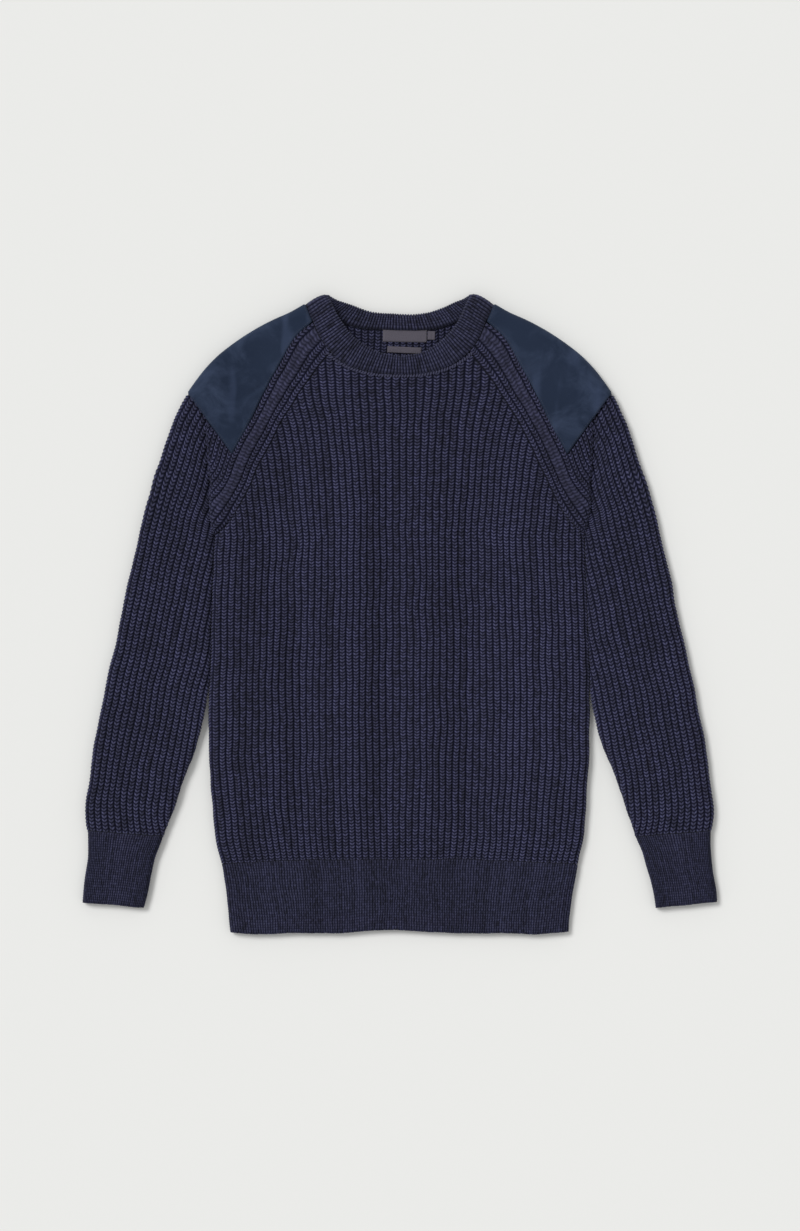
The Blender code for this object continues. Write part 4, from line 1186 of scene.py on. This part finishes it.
def makeCuff(name, side, material):
    knit = Knit()
    count = cuff["ribs"]

    def column(rib, rise):
        lower = rib > count
        share = np.array([(2 * count - rib) / count if lower else rib / count])
        return np.array([cuffLine(side, row, share, rise, lower)[0] for row in cuff["rows"]])

    lengths = runAlong(column(count / 2, 0.0)[::-1])
    ribs = np.arange(4 * count) / 2
    pitch = cuff["stitch"] / 2
    outer, inner = [], []
    for rib in ribs:
        places, numbers = courseRows(lengths[-1], pitch, chevron(rib % 1.0, cuff["chevron"]))
        under = smoothStep((rib - count + 1) / 1.5) * smoothStep((2 * count - rib + 0.5) / 1.5)
        points = alongColumn(lengths, column(rib, 0.0), places)
        lift, fade = cuff["rise"] * (1 - under), weltFade(places, lengths[-1])
        outer.append((knit.line(points, rib, numbers / 2, lift, fade), list(numbers)))
    above, below = cuff["insideStep"]
    coarse = np.concatenate([np.arange(0, count + 1, above), np.arange(count + below, 2 * count, below)])
    for rib in coarse:
        places = np.linspace(0, lengths[-1], cuff["insideRows"])
        points = alongColumn(lengths, column(rib, -cuff["cloth"]), places)
        inner.append((knit.line(points, rib, places / cuff["stitch"]), list(range(len(places)))))
    around = [2 * count]
    knit.wall(outer, inner, list(ribs) + around, list(coarse) + around, closed=True)
    return grown(knit.made(name), reliefTree, {**cuff["relief"], "Material": material})


for word, side in (("right", -1.0), ("left", 1.0)):
    cuffPiece = finished(makeCuff(f"{word}_ribbed_cuff", side, navyWelt), "navy_welt_wool", f"{word}_cuff")
print("hem and cuffs:", len(hemFront.data.polygons), len(cuffPiece.data.polygons))

neckband = {
    "ribs": 70,
    "around": 36,
    "rise": 0.9,
    "stitch": 3.3,
    "chevron": 1.8,
    "slide": 0.75,
    "relief": {"Rib Depth": 1.7, "Stitch Rise": 0.5, "Centre Groove": 0.0, "Unevenness": 0.2},
    "half": 3.7,
    "width": 21.5,
    "closer": (0.1, 6.3, 1.2),  # how far it moves onto its seam: half, and all of it after this row and run
    "seamZone": (0.17, 0.1),
    "shoulderBulge": (2.2, 8.0, 0.7),  # how far, at which row of the table, over how many rows
    "seamFade": (0.01, 0.14),
    "chain": (0, 4.0, 2.6),  # linked under it: first and last row of the table, and how far up
    "section": [(0.055, 0.7), (0.17, 0.95), (0.38, 1.0), (0.8, 1.0), (0.955, 0.68), (1.0, 0.0),
                (0.955, -0.68), (0.8, -1.0), (0.38, -1.0), (0.17, -0.95), (0.075, -0.7)],
}


def roundLoop(points, steps):  # a smooth closed loop through the points, and the distance round it
    points = np.asarray(points, float)
    dense = []
    for i in range(len(points)):
        near = [points[(i + k) % len(points)] for k in (-1, 0, 1, 2)]
        for t in np.linspace(0, 1, steps, endpoint=False):
            dense.append(throughPoints(*near, t))
    dense = np.array(dense + dense[:1])
    return dense, runAlong(dense * (neckband["width"], neckband["half"]))


def makeNeckband(name, material):
    knit = Knit()
    last = len(neckbandRows) - 1.0
    fine = np.linspace(0, last, 601)
    seam, edge = bandHalf(fine)
    lengths = runAlong((seam + edge) / 2)
    dense, loop = roundLoop(neckband["section"], 12)
    half, count = neckband["ribs"], neckband["around"]
    closer, closerRow, closerRun = neckband["closer"]
    zone, zoneRun = neckband["seamZone"]
    bulge, bulgeRow, bulgeRows = neckband["shoulderBulge"]
    fadeFrom, fadeRun = neckband["seamFade"]
    step = 0.03
    lines = []
    for rib in ribPlaces(0, 2 * half):
        side = 1.0 if rib <= half else -1.0
        share = (rib if rib <= half else 2 * half - rib) / half
        at = np.interp(share * lengths[-1], lengths, fine)
        a, b = bandHalf(np.array([at]))
        ahead = bandHalf(np.array([min(at + step, last)]))
        behind = bandHalf(np.array([max(at - step, 0.0)]))
        slide = chevron(rib % 1.0, neckband["chevron"]) * neckband["slide"]
        places = np.arange(count) / count * loop[-1]
        moved = slide * np.where(places < loop[-1] / 2, 1, -1) * np.sin(places / loop[-1] * 2 * math.pi) ** 2
        moved = (places + moved) % loop[-1]
        across, thick = (np.interp(moved, loop, dense[:, k])[:, None] for k in (0, 1))
        seated = closer * (0.5 + 0.5 * smoothStep((at - closerRow) / closerRun))
        across = across - seated * smoothStep((zone - across) / zoneRun)
        run = mix(ahead[0], ahead[1], across) - mix(behind[0], behind[1], across)
        normal = np.cross(run, b - a)
        normal = normal / np.linalg.norm(normal, axis=1)[:, None]
        points = mix(a, b, across) + thick * neckband["half"] * normal
        rounded = bulge * math.exp(-(((at - bulgeRow) / bulgeRows) ** 2))
        points[:, 1] += rounded * np.sin(math.pi * np.clip(across[:, 0], 0, 1))
        points[:, 0] *= side
        points[:, 2] = np.maximum(points[:, 2], 0.0)
        fade = smoothStep((across[:, 0] + fadeFrom) / fadeRun)
        lift = neckband["rise"] * smoothStep(np.abs(thick[:, 0]) / 0.8)
        ids = knit.line(points, rib, places / neckband["stitch"], lift, fade)
        lines.append((ids + ids[:1], list(range(count + 1))))
    knit.sheet(lines, closed=True)
    return grown(knit.made(name), reliefTree, {**neckband["relief"], "Material": material})


collar = finished(makeNeckband("ribbed_neckband", navyWelt), "navy_welt_wool", "neckband")
print("neckband:", len(collar.data.polygons))

labels = {
    "thick": 0.7,
    "base": 4.3,
    "wave": (0.12, 5.0),
    "grid": (25, 9),
    # name, solid, x, y, width, depth and turn of each
    "rows": [
        ("woven_neck_label", "neck_label", 5.8, 307.5, 48.6, 13.4, -1.0),
        ("woven_size_tab", "size_tab", 34.8, 308.0, 8.0, 9.6, -2.0),
        ("woven_care_label", "care_label", 5.2, 292.0, 37.6, 6.8, -2.5),
    ],
    "endStitch": (0.47, 0.42, 0.1),  # shares of width and depth, and how far above
    "warp": 0.5,
    "weft": 0.42,
    "dark": (0.055, 0.049, 0.066, 1),
    "pale": (0.112, 0.102, 0.130, 1),
}


def makeLabel(name, x, y, width, depth, turn, material):
    knit = Knit()
    turn = math.radians(turn)
    us, vs = (np.linspace(-1, 1, count) for count in labels["grid"])
    high, often = labels["wave"]
    sheets = []
    for layer in (1, 0):
        lines = []
        for u in us:
            dx, dy = u * width / 2 + 0 * vs, vs * depth / 2
            wave = high * np.sin(u * often + x) * (1 - vs * vs) * layer
            z = labels["base"] + layer * labels["thick"] + wave
            turnedX = x + dx * math.cos(turn) - dy * math.sin(turn)
            turnedY = y + dx * math.sin(turn) + dy * math.cos(turn)
            points = np.stack([turnedX, turnedY, z], -1)
            lines.append((knit.line(points, u * width / 2, vs * depth / 2), list(vs)))
        sheets.append(lines)
    knit.wall(sheets[0], sheets[1], list(us), list(us))
    piece = knit.made(name)
    piece.data.materials.append(material)
    return piece


def wovenMaterial():
    fixed = {"Roughness": 0.75, "Sheen Weight": 0.2, "Specular IOR Level": 0.3}
    material, maker, feed = newMaterial("grey_woven_tape", fixed)
    rib, course = maker.facts("rib", "course")
    warp = (rib * (2 * math.pi / labels["warp"])).math("SINE")
    weft = (course * (2 * math.pi / labels["weft"])).math("SINE")
    weave = warp * weft * 0.5 + 0.5
    feed("Base Color", maker.blend(weave, labels["dark"], labels["pale"]))
    feed("Normal", maker.bump(0.6, 0.15, weave))
    return material


def runOfStitches():
    tree, maker, given = newTree("run of stitches", [
        ("Spacing", "NodeSocketFloat", 3.4),
        ("Stitch Length", "NodeSocketFloat", 2.6),
        ("Thread Width", "NodeSocketFloat", 0.5),
        ("Slant", "NodeSocketFloat", 0.0),
        ("Material", "NodeSocketMaterial", None),
    ])
    path = maker.node("GeometryNodeMeshToCurve", (), {0: given["Geometry"]})
    evenly = {"Curve": path, "Length": given["Spacing"] * mm}
    curve = maker.node("GeometryNodeResampleCurve", {"mode": "LENGTH"}, evenly)
    tangent = maker.node("GeometryNodeInputTangent")
    aligned = maker.node("FunctionNodeAlignRotationToVector", {"axis": "X"}, {"Vector": tangent})
    slant = maker.node("ShaderNodeCombineXYZ", (), {"Z": given["Slant"]})
    turned = maker.node("FunctionNodeRotateRotation", {"rotation_space": "LOCAL"}, {0: aligned, 1: slant})
    bead = maker.node("GeometryNodeMeshUVSphere", (), {"Segments": 6, "Rings": 5, "Radius": 0.5})
    size = maker.node("ShaderNodeCombineXYZ", (), {
        "X": given["Stitch Length"] * mm,
        "Y": given["Thread Width"] * mm,
        "Z": given["Thread Width"] * (0.8 * mm),
    })
    placed = maker.node("GeometryNodeInstanceOnPoints", (), {
        "Points": curve, "Instance": bead, "Rotation": turned, "Scale": size})
    endTree(tree, maker, placed, given["Material"])
    return tree


def threadMaterial(name, colour):
    material, maker, feed = newMaterial(name, {"Roughness": 0.7, "Specular IOR Level": 0.3})
    place = maker.node("ShaderNodeTexCoord", (), (), "Object")
    twist = maker.noise(place, 2600.0, 1.0)
    feed("Base Color", maker.scaled(colour, 0.6 + 0.8 * twist))
    return material


def stitched(name, paths, tree, values):
    points, edges = [], []
    for path in paths:
        edges += [(len(points) + i, len(points) + i + 1) for i in range(len(path) - 1)]
        points += (np.asarray(path) * mm).tolist()
    mesh = bpy.data.meshes.new(name)
    mesh.from_pydata(points, edges, [])
    piece = grown(newObject(name, mesh), tree, values)
    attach(piece, "root")
    return piece


def patchSeam(side, inset, rise):  # round the patch, a little inside its edge
    outside = patchSurface(side, patch["thick"] + garment["seamGap"] + rise)
    rows, down = patchRows(outside, 160)
    first, last = np.interp([inset, down[-1] - inset], down, rows)
    wide = atSection(wholeAt[False] - bandAt[False], rows)
    runDown = rows[(rows > first) & (rows < last)]
    near = inset / np.interp(runDown, rows, wide)
    ends = np.linspace(0, 1, 50)
    low, high = (inset / np.interp(end, rows, wide) for end in (last, first))
    sectionsRound = np.concatenate([runDown, 0 * ends + last, runDown[::-1], 0 * ends + first])
    acrossRound = np.concatenate([near, mix(low, 2 - low, ends), 2 - near[::-1], mix(2 - high, high, ends)])
    return outside(sectionsRound, acrossRound)


patchStitch = {"Spacing": 3.1, "Stitch Length": 2.4, "Thread Width": 0.6}
chainStitch = {"Spacing": 3.1, "Stitch Length": 4.6, "Thread Width": 2.6, "Slant": 1.0}
labelStitch = {"Spacing": 1.5, "Stitch Length": 1.1, "Thread Width": 0.5}
threads = {"navy_thread": (0.030, 0.036, 0.062), "navy_link_yarn": (0.036, 0.037, 0.074),
           "grey_thread": (0.16, 0.15, 0.17)}

stitchTree = runOfStitches()
patchThread, linkYarn, tapeThread = (threadMaterial(name, colour) for name, colour in threads.items())
for word, side in (("right", -1.0), ("left", 1.0)):
    path = patchSeam(side, patch["seamInset"], patch["seamRise"])
    seam = stitched(f"{word}_patch_stitching", [path], stitchTree, {**patchStitch, "Material": patchThread})
print("patch stitching:", len(seam.data.polygons))


def neckSeam(first, last, lift):
    seam, edge = bandHalf(np.linspace(first, last, 80))
    half = seam + (seam - edge) * (0.1, 0.1, 0.0) + (0.0, 0.0, lift)
    return np.vstack([half[:0:-1] * (-1.0, 1.0, 1.0), half])


chain = {**chainStitch, "Material": linkYarn}
stitched("neck_linking_chain", [neckSeam(*neckband["chain"])], stitchTree, chain)

greyTape = wovenMaterial()
for name, node, *sizes in labels["rows"]:
    finished(makeLabel(name, *sizes, greyTape), "grey_woven_label", node)
labelEnds = []
outer, deep, above = labels["endStitch"]
for _, _, x, y, width, depth, turn in labels["rows"][::2]:
    spin = Matrix.Rotation(math.radians(turn), 3, "Z")
    middle = Vector((x, y, labels["base"] + labels["thick"] + above))
    for end in (-outer, outer):
        ends = (Vector((end * width, part * depth, 0)) for part in (deep, -deep))
        labelEnds.append([tuple(spin @ point + middle) for point in ends])
stitched("label_end_stitching", labelEnds, stitchTree, {**labelStitch, "Material": tapeThread})

studio = {
    "floor": (0.80, 0.803, 0.785, 1),
    "floorHalf": 4.0,
    "floorZ": -0.0003,
    "world": 0.58,
    "key": 1.91,
    "softness": 24.0,
    "keyFrom": (-0.62, 0.5, 0.9),
    "camera": (0.0004, -0.0003, 3.205),
    "lens": 85.0,
    "sensor": 36.0,
}


def makeStudio():
    half, z = studio["floorHalf"], studio["floorZ"]
    mesh = bpy.data.meshes.new("floor")
    corners = [(-half, -half, z), (half, -half, z), (half, half, z), (-half, half, z)]
    mesh.from_pydata(corners, [], [(0, 1, 2, 3)])
    floor = newObject("floor", mesh)
    plain = {"Roughness": 0.9, "Specular IOR Level": 0.1, "Base Color": studio["floor"]}
    mesh.materials.append(newMaterial("pale_backdrop", plain)[0])
    world = bpy.data.worlds.new("studio")
    bpy.context.scene.world = world
    world.use_nodes = True
    sky = world.node_tree.nodes["Background"].inputs
    sky["Color"].default_value = (1, 1, 1, 1)
    sky["Strength"].default_value = studio["world"]
    light = bpy.data.lights.new("key", "SUN")
    light.energy, light.angle = studio["key"], math.radians(studio["softness"])
    lamp = newObject("key", light)
    lamp.location = Vector(studio["keyFrom"]) * 3
    lamp.rotation_euler = (-Vector(studio["keyFrom"])).to_track_quat("-Z", "Y").to_euler()
    bpy.context.scene.view_settings.view_transform = "Standard"
    data = bpy.data.cameras.new("camera")
    data.sensor_fit = "VERTICAL"
    data.sensor_height, data.lens = studio["sensor"], studio["lens"]
    camera = newObject("camera", data)
    camera.location = studio["camera"]
    bpy.context.scene.camera = camera


makeStudio()
print("studio ready")
